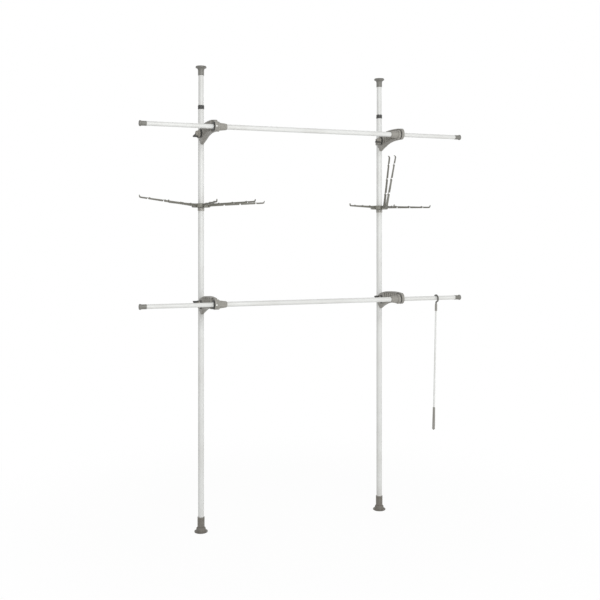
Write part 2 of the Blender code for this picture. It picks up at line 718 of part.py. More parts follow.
def sleeve_form():
    """Clamping sleeve under the hub."""
    top = HUB_BOTTOM - GAP
    bore = LOWER_TUBE_RADIUS + GAP
    profile = [(bore, SLEEVE_BOTTOM), (SLEEVE_RADIUS - EDGE / 2.0, SLEEVE_BOTTOM)]
    profile += [(SLEEVE_RADIUS, SLEEVE_BOTTOM + EDGE), (SLEEVE_RADIUS, top), (bore, top)]
    return turned(profile)


def build_carousel(side):
    """A carousel of folding hooks on its sleeve, turned to face as it stands."""
    carousel = CAROUSELS[side]
    pole = SIDE_SIGN[side] * POLE_SPACING / 2.0
    facing = (0.0, 0.0, -math.radians(carousel.facing))
    hub = anchor(f"{side}_carousel", (pole, 0.0, CAROUSEL_HEIGHT), facing)
    place(f"{side}_carousel_sleeve", sleeve_form(), HOOK_MOULDING, hub)
    place(f"{side}_carousel_hub", hub_form(), HOOK_MOULDING, hub)
    for number, tilt in enumerate(carousel.tilts):
        turn = (number - 2) * HOOK_SPACING
        pivot = (PIVOT_RADIUS * math.sin(turn), -PIVOT_RADIUS * math.cos(turn), 0.0)
        pose = (-math.radians(tilt), 0.0, turn)
        place(f"{side}_hook_{number + 1}", hook_form(), HOOK_MOULDING, hub, pivot, pose)


# Reach stick
def swept_wire(path, radius, sides=8):
    """A round wire along (across, up) points in the YZ plane, with flat ends."""
    form = bmesh.new()
    rings = []
    for number, (y, z) in enumerate(path):
        before = Vector(path[max(number - 1, 0)])
        after = Vector(path[min(number + 1, len(path) - 1)])
        tangent = (after - before).normalized()
        normal = Vector((0.0, -tangent.y, tangent.x))
        ring = []
        for step in range(sides):
            angle = 2.0 * math.pi * step / sides
            reach = normal * math.sin(angle) + Vector((math.cos(angle), 0.0, 0.0))
            ring.append(form.verts.new(Vector((0.0, y, z)) + radius * reach))
        rings.append(ring)
    for ring, following in zip(rings, rings[1:]):
        for step in range(sides):
            ahead = (step + 1) % sides
            form.faces.new((ring[step], ring[ahead], following[ahead], following[step]))
    form.faces.new(rings[0])
    form.faces.new(rings[-1])
    return facing_out(form)


def stick_hook_form():
    """Wire hook: a bow over the rail that comes back to the middle above the ferrule."""
    centre = (0.0, END_TUBE_RADIUS + GAP + STICK_WIRE - STICK_BOW)
    bow = rounded(centre, STICK_BOW, -20.0, 205.0, 12)
    neck = bezier(bow[-1], (-0.0147, centre[1] - 0.0134), (0.0, STICK_NECK + 0.005), (0.0, STICK_NECK), 5)
    path = bow + neck[1:] + [(0.0, FERRULE_TOP + GAP)]
    return moved(swept_wire(path, STICK_WIRE), Matrix.Rotation(STICK_TURN, 4, "Z"))


def ferrule_form():
    """Tapered ferrule with a socket for the rod."""
    bore = ROD_RADIUS + GAP
    floor = FERRULE_BOTTOM + ROD_SOCKET
    profile = [(0.0, FERRULE_TOP), (ROD_RADIUS, FERRULE_TOP)]
    profile += [(FERRULE_RADIUS, FERRULE_TOP - FERRULE_SHOULDER)]
    profile += [(FERRULE_RADIUS, FERRULE_BOTTOM), (bore, FERRULE_BOTTOM), (bore, floor), (0.0, floor)]
    return turned(profile, 12)


def handle_form():
    """Slim handle that widens to a neck and a pointed bulb."""
    bore = ROD_RADIUS + GAP
    floor = ROD_BOTTOM - GAP
    profile = [(0.0, floor), (bore, floor), (bore, HANDLE_TOP), (HANDLE_TOP_RADIUS, HANDLE_TOP)]
    profile += [(HANDLE_TOP_RADIUS + EDGE / 2.0, HANDLE_TOP - 2.0 * EDGE)]
    profile += [(HANDLE_LOW_RADIUS, HANDLE_NECK + 4.0 * EDGE), (HANDLE_NECK_RADIUS, HANDLE_NECK)]
    profile += [(HANDLE_BULB_RADIUS, HANDLE_BULB + 2.0 * EDGE)]
    profile += [(HANDLE_BULB_RADIUS - EDGE, HANDLE_BULB - 3.0 * EDGE)]
    profile += [(0.0, HANDLE_BOTTOM)]
    return turned(profile, 12)


def build_stick():
    """Reach stick: a wire hook over the rail, a ferrule, a thin rod and a bulb-ended handle."""
    place_on_rail = (STICK_PLACE, -RAIL_REACH, LOWER_RAIL_HEIGHT)
    stick = anchor("reach_stick", place_on_rail, (STICK_LEAN, 0.0, 0.0))
    shaft = rod(ROD_RADIUS, ROD_BOTTOM, FERRULE_BOTTOM + ROD_SOCKET - GAP, 12)
    place("stick_hook", stick_hook_form(), GREY_MOULDING, stick)
    place("stick_ferrule", ferrule_form(), GREY_MOULDING, stick)
    place("stick_rod", shaft, POWDER_COAT, stick)
    place("stick_handle", handle_form(), GREY_MOULDING, stick)


def build_rack():
    """The whole rack as it stands."""
    clear_scene()
    for side in SIDE_SIGN:
        build_pole(side)
        build_carousel(side)
    for rail in RAILS:
        build_rail(rail)
    build_stick()


build_rack()
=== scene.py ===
"""Looks of a telescopic clothes rack that is clamped between floor and ceiling.

Every class below makes one sub-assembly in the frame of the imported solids: metres, +Z up,
+X along the rails to the right, -Y towards the room, the origin on the floor between the poles.
"""

import logging
import math
from dataclasses import dataclass, field
from enum import Enum
from typing import Any, Iterable

import bmesh
import bpy
from mathutils import Matrix, Vector
from mathutils.geometry import interpolate_bezier


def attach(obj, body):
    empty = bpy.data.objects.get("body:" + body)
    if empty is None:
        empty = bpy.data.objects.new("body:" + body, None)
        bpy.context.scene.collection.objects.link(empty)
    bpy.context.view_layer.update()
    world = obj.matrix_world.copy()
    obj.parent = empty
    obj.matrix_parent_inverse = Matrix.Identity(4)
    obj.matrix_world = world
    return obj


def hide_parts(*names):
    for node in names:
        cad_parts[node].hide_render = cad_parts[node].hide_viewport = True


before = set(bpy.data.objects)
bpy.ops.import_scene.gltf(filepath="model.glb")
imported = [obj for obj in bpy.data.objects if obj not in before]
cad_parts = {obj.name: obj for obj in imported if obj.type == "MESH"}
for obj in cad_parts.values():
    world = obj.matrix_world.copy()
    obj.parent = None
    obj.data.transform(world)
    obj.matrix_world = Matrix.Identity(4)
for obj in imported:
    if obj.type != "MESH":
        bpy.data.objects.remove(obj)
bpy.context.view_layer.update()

LOG = logging.getLogger("clothes_rack")

Point = tuple[float, float]
Spot = tuple[float, float, float]
Profile = list[Point]
Mesh = bpy.types.Mesh
Node = bpy.types.Node
Socket = bpy.types.NodeSocket
Tree = bpy.types.NodeTree

# Points of a form nearer than this, in metres, are one point
WELD = 0.000001
# A rounding takes at most this share of each side that it starts on
ROUNDING_SHARE = 0.45
# Edges of a cut moulding that are sharper than this, in degrees, are rounded
CUT_ANGLE = 40.0
# Faces that meet at more than this, in degrees, keep a crisp edge between them
CRISP_ANGLE = 38.0
# An edge starts to polish at this angle, in radians, and is fully polished this much further
WEAR_START = 0.15
WEAR_SPAN = 0.5
# Sockets of a colour Mix node by number, because their names repeat
SHARE, FIRST, SECOND, MIXED = 0, 6, 7, 2
WHITE = "#FFFFFF"


def shift(x: float = 0.0, y: float = 0.0, z: float = 0.0) -> Matrix:
    """A move along the axes."""
    return Matrix.Translation((x, y, z))


def turn(degrees: float, axis: str) -> Matrix:
    """A turn about one axis."""
    return Matrix.Rotation(math.radians(degrees), 4, axis)


ALONG_X = turn(90.0, "Y")
AGAINST_X = turn(-90.0, "Y")
TOWARDS_ROOM = turn(90.0, "X")


class Worded(Enum):
    """Options that the solids name in lower case."""

    @property
    def word(self) -> str:
        """The option's name as the solids use it."""
        return self.name.lower()


class Side(Worded):
    """The two poles, with the sign of their place along X."""

    LEFT = -1.0
    RIGHT = 1.0


class RailLevel(Worded):
    """The two rails, with the height of their axes."""

    UPPER = 2.062
    LOWER = 1.190


class Slot(Enum):
    """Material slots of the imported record."""

    POWDER_COAT = "powder_coat"
    GREY = "grey_moulding"
    DARK = "dark_moulding"
    HOOK = "hook_moulding"
    FOOT = "foot_moulding"
    PAD = "pad_rubber"
    WHITE = "white_moulding"


@dataclass(frozen=True)
class RackPlan:
    """Driving sizes that more than one sub-assembly needs, in metres.

    The edge is the unit of the small steps and roundings in every profile.
    """

    height: float = 2.400
    pole_spacing: float = 1.020
    rail_reach: float = 0.249
    rail_half_length: float = 0.879
    carousel_height: float = 1.684
    gap: float = 0.0003
    wall: float = 0.0012
    lower_tube: float = 0.015
    upper_tube: float = 0.0135
    centre_tube: float = 0.0125
    end_tube: float = 0.011
    edge: float = 0.001

    def pole_x(self, side: Side) -> float:
        """Place of a pole along X."""
        return side.value * self.pole_spacing / 2.0


PLAN = RackPlan()


# Colour and nodes
def to_linear(code: str) -> tuple[float, float, float, float]:
    """Turn an sRGB hex colour into linear values.

    Args:
        code: six hex digits after a hash sign.

    Returns:
        Red, green, blue and an alpha of one.
    """
    shares = [int(code[place:place + 2], 16) / 255.0 for place in (1, 3, 5)]
    values = [s / 12.92 if s <= 0.04045 else ((s + 0.055) / 1.055) ** 2.4 for s in shares]
    return (values[0], values[1], values[2], 1.0)


def cells(millimetres: float) -> float:
    """Texture scale at which one cell of a pattern is this many millimetres wide."""
    return 1000.0 / millimetres


def feed(tree: Tree, node: Node, values: dict[Any, Any]) -> None:
    """Set or link a node's inputs.

    Args:
        tree: the tree that holds the node.
        node: the node.
        values: a value or another node's output for each input, by name or number.
    """
    for socket, value in values.items():
        if isinstance(value, Socket):
            tree.links.new(value, node.inputs[socket])
        else:
            node.inputs[socket].default_value = value


def add_node(tree: Tree, kind: str, values: dict[Any, Any] | None = None,
             **settings: Any) -> bpy.types.NodeOutputs:
    """Add a node to a shader or geometry tree.

    Args:
        tree: the tree that gets the node.
        kind: Blender's name of the node type.
        values: a value or another node's output for each input, by name or number.
        settings: the node's own properties.

    Returns:
        The new node's outputs.
    """
    node = tree.nodes.new(kind)
    for name, value in settings.items():
        setattr(node, name, value)
    feed(tree, node, values or {})
    return node.outputs


def shown_rays(tree: Tree) -> Socket:
    """Find the rays that show the background itself: camera, glossy and transmission rays.

    Args:
        tree: the shader tree that asks.

    Returns:
        An output that is one for these rays.
    """
    path = add_node(tree, "ShaderNodeLightPath")
    pair = add_node(tree, "ShaderNodeMath", {0: path["Is Camera Ray"], 1: path["Is Glossy Ray"]},
                    operation="MAXIMUM")
    return add_node(tree, "ShaderNodeMath", {0: pair[0], 1: path["Is Transmission Ray"]},
                    operation="MAXIMUM")[0]


# Finishes
@dataclass(frozen=True)
class Finish:
    """A real material, and the slot of the record that it belongs to."""

    name: str
    slot: Slot | None

    def material(self) -> bpy.types.Material:
        """Make the finish's material when it is first asked for.

        Returns:
            The Blender material.
        """
        known = bpy.data.materials.get(self.name)
        if known:
            return known
        material = bpy.data.materials.new(self.name)
        material.use_nodes = True
        tree = material.node_tree
        place = add_node(tree, "ShaderNodeTexCoord")["Object"]
        self.dress(tree, tree.nodes["Principled BSDF"], place)
        return material

    def dress(self, tree: Tree, shader: Node, place: Socket) -> None:
        """Lead the finish's own nodes to a bare Principled shader.

        Args:
            tree: the material's tree.
            shader: its Principled node.
            place: the output that gives a point's place in the rack's frame.
        """
        raise NotImplementedError


@dataclass(frozen=True)
class PowderCoatedSteel(Finish):
    """Steel tube with a baked polyester powder coat.

    The powder melts into a thick skin with a faint orange peel, so its gloss breaks up softly;
    hands and sliding sleeves leave slightly duller, greyer bands. The orange peel is drawn twice
    as coarse as the real one to show.
    """

    name: str = "powder_coated_steel_tube"
    slot: Slot | None = Slot.POWDER_COAT
    colour: str = "#DFE0DE"
    handled: str = "#D5D5D2"
    worn: str = "#BFBDB8"
    roughness: float = 0.40
    peel_mm: float = 2.4
    handled_mm: float = 160.0
    scuff_mm: float = 6.0
    handled_range: Point = (0.42, 0.68)
    scuff_range: Point = (0.3, 0.7)
    gloss_drift: Point = (-0.05, 0.09)
    peel_height: float = 0.07
    peel_depth: float = 0.0002
    ior: float = 1.5

    def dress(self, tree: Tree, shader: Node, place: Socket) -> None:
        """Add the handled bands, the rubbed edges and the orange peel.

        Args:
            tree: the material's tree.
            shader: its Principled node.
            place: the output that gives a point's place in the rack's frame.
        """
        bands = add_node(tree, "ShaderNodeTexNoise",
                         {"Vector": place, "Scale": cells(self.handled_mm), "Detail": 4.0})
        tone = add_node(tree, "ShaderNodeMapRange",
                        {"Value": bands["Fac"], "From Min": self.handled_range[0],
                         "From Max": self.handled_range[1]})
        coat = add_node(tree, "ShaderNodeMix", {SHARE: tone[0], FIRST: to_linear(self.colour),
                                                SECOND: to_linear(self.handled)}, data_type="RGBA")
        wear = add_node(tree, "ShaderNodeAttribute", attribute_name="edge_wear")
        scuff = add_node(tree, "ShaderNodeTexNoise", {"Vector": place, "Scale": cells(self.scuff_mm),
                                                      "Detail": 6.0, "Roughness": 0.7})
        rubbed = add_node(tree, "ShaderNodeMath", {0: wear["Fac"], 1: scuff["Fac"]},
                          operation="MULTIPLY")
        dressed = add_node(tree, "ShaderNodeMix", {SHARE: rubbed[0], FIRST: coat[MIXED],
                                                   SECOND: to_linear(self.worn)}, data_type="RGBA")
        dull = add_node(tree, "ShaderNodeMapRange",
                        {"Value": scuff["Fac"], "From Min": self.scuff_range[0],
                         "From Max": self.scuff_range[1],
                         "To Min": self.roughness + self.gloss_drift[0],
                         "To Max": self.roughness + self.gloss_drift[1]})
        peel = add_node(tree, "ShaderNodeTexNoise",
                        {"Vector": place, "Scale": cells(self.peel_mm), "Detail": 1.5})
        bump = add_node(tree, "ShaderNodeBump", {"Strength": self.peel_height,
                                                 "Distance": self.peel_depth, "Height": peel["Fac"]})
        feed(tree, shader, {"Base Color": dressed[MIXED], "Roughness": dull[0],
                            "Normal": bump["Normal"], "IOR": self.ior})


@dataclass(frozen=True)
class MouldedPlastic(Finish):
    """Injection-moulded plastic with an eroded tool texture.

    The tool's fine grain scatters the gloss, the colour drifts a little with the flow of the
    melt, and edges polish paler where they are handled. The corners and hollows take a painted
    shade from ambient occlusion, or painted light where their colour is paler than the body.
    The grain is drawn about twice as coarse as real to show.
    """

    colour: str
    cloud: str
    polished: str
    dust: str
    roughness: float = 0.55
    grain_mm: float = 0.9
    cloud_mm: float = 22.0
    grain_height: float = 0.22
    hollow: float = 0.016
    dust_share: float = 0.42
    drift_range: Point = (0.32, 0.70)
    hollow_range: Point = (0.35, 0.95)
    polish_limit: float = 0.6
    polish_gain: float = 0.18
    grain_depth: float = 0.0003
    ior: float = 1.49

    def dress(self, tree: Tree, shader: Node, place: Socket) -> None:
        """Add the melt's drift, the painted shade of the hollows, the polished edges and the grain.

        Args:
            tree: the material's tree.
            shader: its Principled node.
            place: the output that gives a point's place in the rack's frame.
        """
        flow = add_node(tree, "ShaderNodeTexNoise",
                        {"Vector": place, "Scale": cells(self.cloud_mm), "Detail": 5.0,
                         "Roughness": 0.62, "Distortion": 0.8})
        drift = add_node(tree, "ShaderNodeMapRange",
                         {"Value": flow["Fac"], "From Min": self.drift_range[0],
                          "From Max": self.drift_range[1]})
        body = add_node(tree, "ShaderNodeMix", {SHARE: drift[0], FIRST: to_linear(self.colour),
                                                SECOND: to_linear(self.cloud)}, data_type="RGBA")
        # Painted shade: ambient occlusion mixes the hollow colour into corners and recesses, and it is
        # painted light where that colour is paler
        hollow = add_node(tree, "ShaderNodeAmbientOcclusion", {"Distance": self.hollow},
                          samples=4, only_local=True)
        shade = add_node(tree, "ShaderNodeMapRange",
                         {"Value": hollow["AO"], "From Min": self.hollow_range[0],
                          "From Max": self.hollow_range[1], "To Min": self.dust_share, "To Max": 0.0})
        hollow_painted = add_node(tree, "ShaderNodeMix", {SHARE: shade[0], FIRST: body[MIXED],
                                                  SECOND: to_linear(self.dust)}, data_type="RGBA")
        wear = add_node(tree, "ShaderNodeAttribute", attribute_name="edge_wear")
        patchy = add_node(tree, "ShaderNodeMath", {0: wear["Fac"], 1: flow["Fac"]},
                          operation="MULTIPLY")
        rubbed = add_node(tree, "ShaderNodeMix", {SHARE: patchy[0], FIRST: hollow_painted[MIXED],
                                                  SECOND: to_linear(self.polished)}, data_type="RGBA")
        gloss = add_node(tree, "ShaderNodeMapRange",
                         {"Value": patchy[0], "From Max": self.polish_limit, "To Min": self.roughness,
                          "To Max": self.roughness - self.polish_gain})
        grain = add_node(tree, "ShaderNodeTexNoise",
                         {"Vector": place, "Scale": cells(self.grain_mm), "Detail": 2.0})
        bump = add_node(tree, "ShaderNodeBump", {"Strength": self.grain_height,
                                                 "Distance": self.grain_depth, "Height": grain["Fac"]})
        feed(tree, shader, {"Base Color": rubbed[MIXED], "Roughness": gloss[0],
                            "Normal": bump["Normal"], "IOR": self.ior})


@dataclass(frozen=True)
class ZincPlatedSteel(Finish):
    """Cold-headed steel fasteners with a bright zinc plate.

    The plate is a cool pale grey metal whose gloss varies in small blotches.
    """

    name: str = "zinc_plated_steel_fastener"
    slot: Slot | None = Slot.GREY
    colour: str = "#C3C6C8"
    blotch: str = "#A4A8AB"
    roughness: float = 0.34
    blotch_mm: float = 3.0
    blotch_range: Point = (0.3, 0.7)
    gloss_drift: Point = (-0.08, 0.12)

    def dress(self, tree: Tree, shader: Node, place: Socket) -> None:
        """Add the blotches.

        Args:
            tree: the material's tree.
            shader: its Principled node.
            place: the output that gives a point's place in the rack's frame.
        """
        spots = add_node(tree, "ShaderNodeTexNoise",
                         {"Vector": place, "Scale": cells(self.blotch_mm), "Detail": 4.0})["Fac"]
        plate = add_node(tree, "ShaderNodeMix", {SHARE: spots, FIRST: to_linear(self.colour),
                                                 SECOND: to_linear(self.blotch)}, data_type="RGBA")
        gloss = add_node(tree, "ShaderNodeMapRange",
                         {"Value": spots, "From Min": self.blotch_range[0],
                          "From Max": self.blotch_range[1],
                          "To Min": self.roughness + self.gloss_drift[0],
                          "To Max": self.roughness + self.gloss_drift[1]})
        feed(tree, shader, {"Base Color": plate[MIXED], "Roughness": gloss[0],
                            "Metallic": 1.0})


@dataclass(frozen=True)
class PaintedFloor(Finish):
    """Matt white paint that keeps a faint shadow near the rack and fades into the white ground."""

    name: str = "pale_matt_floor"
    slot: Slot | None = None
    colour: str = "#F7F7F6"
    roughness: float = 0.9
    shadow_reach: Point = (0.7, 2.2)
    near_white: float = 0.95

    def dress(self, tree: Tree, shader: Node, place: Socket) -> None:
        """Add the white that only the eye and reflections see.

        Args:
            tree: the material's tree.
            shader: its Principled node.
            place: the output that gives a point's place in the rack's frame.
        """
        feed(tree, shader, {"Base Color": to_linear(self.colour), "Roughness": self.roughness})
        white = add_node(tree, "ShaderNodeEmission", {"Color": to_linear(WHITE), "Strength": 1.0})
        away = add_node(tree, "ShaderNodeVectorMath", {0: place}, operation="LENGTH")
        clear = add_node(tree, "ShaderNodeMapRange",
                         {"Value": away["Value"], "From Min": self.shadow_reach[0],
                          "From Max": self.shadow_reach[1], "To Min": self.near_white},
                         interpolation_type="SMOOTHSTEP")
        share = add_node(tree, "ShaderNodeMath", {0: shown_rays(tree), 1: clear[0]},
                         operation="MULTIPLY")
        mix = add_node(tree, "ShaderNodeMixShader",
                       {0: share[0], 1: shader.outputs[0], 2: white[0]})
        feed(tree, tree.nodes["Material Output"], {"Surface": mix[0]})


# The fourth colour of each moulding is painted into its hollows by ambient occlusion: painted shade
# where it is darker than the body, painted light where it is paler
# Baked powder coat: a clean white skin with a soft, slightly broken highlight along each tube
TUBE_COAT = PowderCoatedSteel()
# Textured ABS: matt mid grey brackets whose rims are rubbed paler and whose hollows are painted paler,
# painted light that lifts their shade
GREY_ABS = MouldedPlastic("grey_abs_moulding", Slot.GREY, "#918F89", "#84827C", "#BDBAB3", "#B5B2AA",
                          dust_share=0.60)
# Smooth ABS: a small white button with a clear highlight
WHITE_ABS = MouldedPlastic("white_abs_moulding", Slot.WHITE, "#EDEDEA", "#E6E6E2", "#F4F4F2", "#9A9892",
                           roughness=0.40)
# Smoother ABS: the push-on caps and ceiling plates are a shade darker and shine a little more
CAP_ABS = MouldedPlastic("satin_grey_abs_moulding", Slot.GREY, "#7F7E79", "#74736D", "#A5A39C",
                         "#45443F", roughness=0.46)
# Dipped ABS: the stick's hook has a dark, even skin that stands out against the white rail
STICK_ABS = MouldedPlastic("dipped_grey_abs", Slot.GREY, "#5E5D59", "#565551", "#85837D", "#33322F",
                           roughness=0.48)
# Handled ABS: warmer than the brackets, with a satin gloss on the knobs' ridges and a deep painted
# shade in their hollows
KNOB_ABS = MouldedPlastic("brown_grey_abs_moulding", Slot.GREY, "#A39F96", "#949087", "#C0BCB3",
                          "#36332D", roughness=0.50, dust_share=0.55)
# Dark ABS: near-black collars, bushes and wings that set off the pale tubes
DARK_ABS = MouldedPlastic("dark_abs_moulding", Slot.DARK, "#40403E", "#383837", "#5E5D5A", "#222120",
                          roughness=0.50)
# Glass-filled nylon: an olive grey with short cloudy drifts where the fibres come to the surface
HOOK_NYLON = MouldedPlastic("olive_glass_filled_nylon", Slot.HOOK, "#67665E", "#5C5B52", "#85837A",
                            "#37362F", roughness=0.52, grain_mm=0.8, cloud_mm=16.0)
# Olive nylon for the hubs, plainer than the hooks and painted a shade paler: painted light where the
# floor lights the hubs from below
PAINTED_LIT_HUB_NYLON = MouldedPlastic("olive_nylon_painted_lit", Slot.HOOK, "#85847B", "#7B7A71", "#A8A69C", "#6E6C63",
                           roughness=0.44)
# Gloss ABS: the carousels' sleeves carry one clear highlight down the front
SLEEVE_ABS = MouldedPlastic("gloss_grey_abs", Slot.GREY, "#A6A49E", "#9C9A94", "#C6C3BC", "#7A7872",
                            roughness=0.24, grain_height=0.06)
# Polypropylene: a waxy brown grey that turns pale at its rubbed steps
FOOT_POLYPROPYLENE = MouldedPlastic("brown_grey_polypropylene", Slot.FOOT, "#7A766F", "#6A665F",
                                    "#A6A199", "#332F2A", roughness=0.50, grain_mm=1.1, cloud_mm=26.0)
# Moulded rubber: dull and grainy, almost without a highlight
PAD_RUBBER = MouldedPlastic("matt_moulded_rubber", Slot.PAD, "#5F5C57", "#544F4A", "#75716B", "#3A3733",
                            roughness=0.82, grain_mm=1.4, cloud_mm=12.0, grain_height=0.35)
# Zinc plate: small bright metal accents on the screws and pins
ZINC_PLATE = ZincPlatedSteel()


# Closed forms
def bezier(start: Point, first: Point, second: Point, end: Point, count: int) -> Profile:
    """Points on a cubic curve between two plane points.

    Args:
        start: first end.
        first: handle of the first end.
        second: handle of the second end.
        end: second end.
        count: number of points, both ends among them.

    Returns:
        The points in order.
    """
    knots = [Vector((x, y, 0.0)) for x, y in (start, first, second, end)]
    return [(p.x, p.y) for p in interpolate_bezier(*knots, count)]


def arc(centre: Point, radius: float, start: float, end: float, steps: int) -> Profile:
    """Points on a circle from one angle to another.

    Args:
        centre: middle of the circle.
        radius: its radius.
        start: first angle in degrees.
        end: last angle in degrees.
        steps: number of chords.

    Returns:
        The points in order.
    """
    angles = [math.radians(start + (end - start) * step / steps) for step in range(steps + 1)]
    return [(centre[0] + radius * math.cos(a), centre[1] + radius * math.sin(a)) for a in angles]


def eased(loop: Profile, radius: float, steps: int = 4, axis: bool = True) -> Profile:
    """Round the corners of a closed loop of plane points.

    Args:
        loop: the corners in order.
        radius: how far from a corner its rounding starts, where there is room.
        steps: chords in each rounding.
        axis: whether points at a first value of zero lie on an axis and stay as they are.

    Returns:
        The rounded loop.
    """
    rounded: Profile = []
    for number, corner in enumerate(loop):
        if axis and corner[0] == 0.0:
            rounded.append(corner)
            continue
        middle = Vector(corner)
        before = Vector(loop[number - 1]) - middle
        after = Vector(loop[(number + 1) % len(loop)]) - middle
        reach = min(radius, ROUNDING_SHARE * before.length, ROUNDING_SHARE * after.length)
        first = middle + before.normalized() * reach
        last = middle + after.normalized() * reach
        for step in range(steps + 1):
            share = step / steps
            point = first * (1 - share) ** 2 + middle * 2 * share * (1 - share) + last * share ** 2
            rounded.append((point.x, point.y))
    return rounded


def new_object(name: str, data: bpy.types.ID) -> bpy.types.Object:
    """Put a new object in the scene.

    Args:
        name: the object's name.
        data: its mesh, curve, lamp or camera.

    Returns:
        The object.
    """
    thing = bpy.data.objects.new(name, data)
    bpy.context.collection.objects.link(thing)
    return thing


def taken(*holders: bpy.types.Object) -> bmesh.types.BMesh:
    """Take the form of a working object after its modifiers.

    Args:
        holders: the object and those that its modifiers use, all of which are removed.

    Returns:
        The form.
    """
    form = bmesh.new()
    form.from_object(holders[0], bpy.context.evaluated_depsgraph_get())
    for holder in holders:
        data = holder.data
        bpy.data.objects.remove(holder, do_unlink=True)
        bpy.data.meshes.remove(data)
    return form


class Shape:
    """A closed form under construction."""

    def __init__(self, form: bmesh.types.BMesh, turn_out: bool = True) -> None:
        """Hold a bmesh, and point its faces outwards unless they already do."""
        if turn_out:
            bmesh.ops.recalc_face_normals(form, faces=form.faces)
        self.form = form

    @classmethod
    def turned(cls, profile: Profile, ease: float = 0.0, sides: int = 72, steps: int = 4) -> "Shape":
        """Turn a closed loop about Z.

        Args:
            profile: (radius, height) points; those at a radius of zero close the form.
            ease: how far from its corners the loop is rounded.
            sides: facets round the axis.
            steps: chords in each rounding.

        Returns:
            The turned form.
        """
        form = bmesh.new()
        rings: list[list[bmesh.types.BMVert]] = []
        for radius, height in eased(profile, ease, steps) if ease else profile:
            if radius == 0.0:
                rings.append([form.verts.new((0.0, 0.0, height))])
                continue
            angles = [2.0 * math.pi * step / sides for step in range(sides)]
            spots = [(radius * math.cos(a), radius * math.sin(a), height) for a in angles]
            rings.append([form.verts.new(spot) for spot in spots])
        for ring, following in zip(rings, rings[1:] + rings[:1]):
            if len(ring) == 1 and len(following) == 1:
                continue
            for step in range(sides):
                ahead = (step + 1) % sides
                corners = [ring[step % len(ring)], ring[ahead % len(ring)],
                           following[ahead % len(following)], following[step % len(following)]]
                form.faces.new(list(dict.fromkeys(corners)))
        return cls(form)

    @classmethod
    def bar(cls, radius: float, low: float, high: float, sides: int = 48) -> "Shape":
        """A solid round bar along Z between two heights."""
        return cls.turned([(0.0, low), (radius, low), (radius, high), (0.0, high)], sides=sides)

    @classmethod
    def plate(cls, outline: Profile, low: float, high: float, taper: float = 0.0,
              edge_round: float = 0.0, segments: int = 3) -> "Shape":
        """A plate of (forward, up) points between two places along X.

        Args:
            outline: the plate's side view.
            low: its left face.
            high: its right face.
            taper: how much each face closes in for each metre forwards.
            edge_round: width of the rounding on its rims.
            segments: steps of that rounding.

        Returns:
            The plate.
        """
        form = bmesh.new()
        near = [form.verts.new((low + taper * f, -f, up)) for f, up in outline]
        far = [form.verts.new((high - taper * f, -f, up)) for f, up in outline]
        faces = [form.faces.new(near), form.faces.new(far)]
        for step in range(len(outline)):
            ahead = (step + 1) % len(outline)
            form.faces.new((near[step], near[ahead], far[ahead], far[step]))
        bmesh.ops.recalc_face_normals(form, faces=form.faces)
        if edge_round:
            rims = [edge for side in faces for edge in side.edges]
            bmesh.ops.bevel(form, geom=rims, offset=edge_round, segments=segments, profile=0.5,
                            affect="EDGES")
        return cls(form)

    @classmethod
    def block(cls, low: Spot, high: Spot) -> "Shape":
        """Make a block that serves as a cutter.

        Args:
            low: its lowest corner.
            high: its highest corner.

        Returns:
            The block.
        """
        form = bmesh.new()
        bmesh.ops.create_cube(form, size=1.0)
        first, last = Vector(low), Vector(high)
        size = Matrix.Diagonal((*(last - first), 1.0))
        form.transform(Matrix.Translation((first + last) / 2.0) @ size)
        return cls(form)

    def moved(self, matrix: Matrix) -> "Shape":
        """The same form after a rigid move."""
        self.form.transform(matrix)
        return self

    def mesh(self) -> Mesh:
        """Turn the form, which is used up, into a mesh.

        Returns:
            The mesh.
        """
        mesh = bpy.data.meshes.new("working")
        self.form.to_mesh(mesh)
        self.form.free()
        return mesh

    def combined(self, tools: Iterable["Shape"], operation: str) -> "Shape":
        """The form after Boolean operations with some tools, which are used up.

        Args:
            tools: the other forms, taken in order.
            operation: Blender's name of the operation.

        Returns:
            The combined form.
        """
        body = self
        for tool in tools:
            holder, other = new_object("working", body.mesh()), new_object("working", tool.mesh())
            step = holder.modifiers.new("Boolean", "BOOLEAN")
            step.operation = operation
            step.solver = "EXACT"
            step.object = other
            body = Shape(taken(holder, other), turn_out=False)
        return body

    def cut(self, *tools: "Shape") -> "Shape":
        """The form without the space that the tools take."""
        return self.combined(tools, "DIFFERENCE")

    def joined(self, *others: "Shape") -> "Shape":
        """The form grown together with others."""
        return self.combined(others, "UNION")

    def softened(self, width: float, angle: float = 30.0) -> "Shape":
        """Round every edge that is sharper than an angle.

        Args:
            width: width of the rounding.
            angle: the angle in degrees.

        Returns:
            The softened form.
        """
        holder = new_object("working", self.mesh())
        step = holder.modifiers.new("Bevel", "BEVEL")
        step.width = width
        step.segments = 2
        step.limit_method = "ANGLE"
        step.angle_limit = math.radians(angle)
        form = taken(holder)
        bmesh.ops.remove_doubles(form, verts=form.verts, dist=WELD)
        bmesh.ops.dissolve_degenerate(form, edges=form.edges, dist=WELD)
        return Shape(form, turn_out=False)


def thin_tube(radius: float, low: float, high: float) -> Shape:
    """Make a thin tube along Z with softened ends.

    Args:
        radius: its outer radius.
        low: its lower end.
        high: its upper end.

    Returns:
        The tube.
    """
    bore = radius - PLAN.wall
    loop = [(radius, low), (radius, high), (bore, high), (bore, low)]
    return Shape.turned(loop, 0.4 * PLAN.edge, sides=64, steps=3)


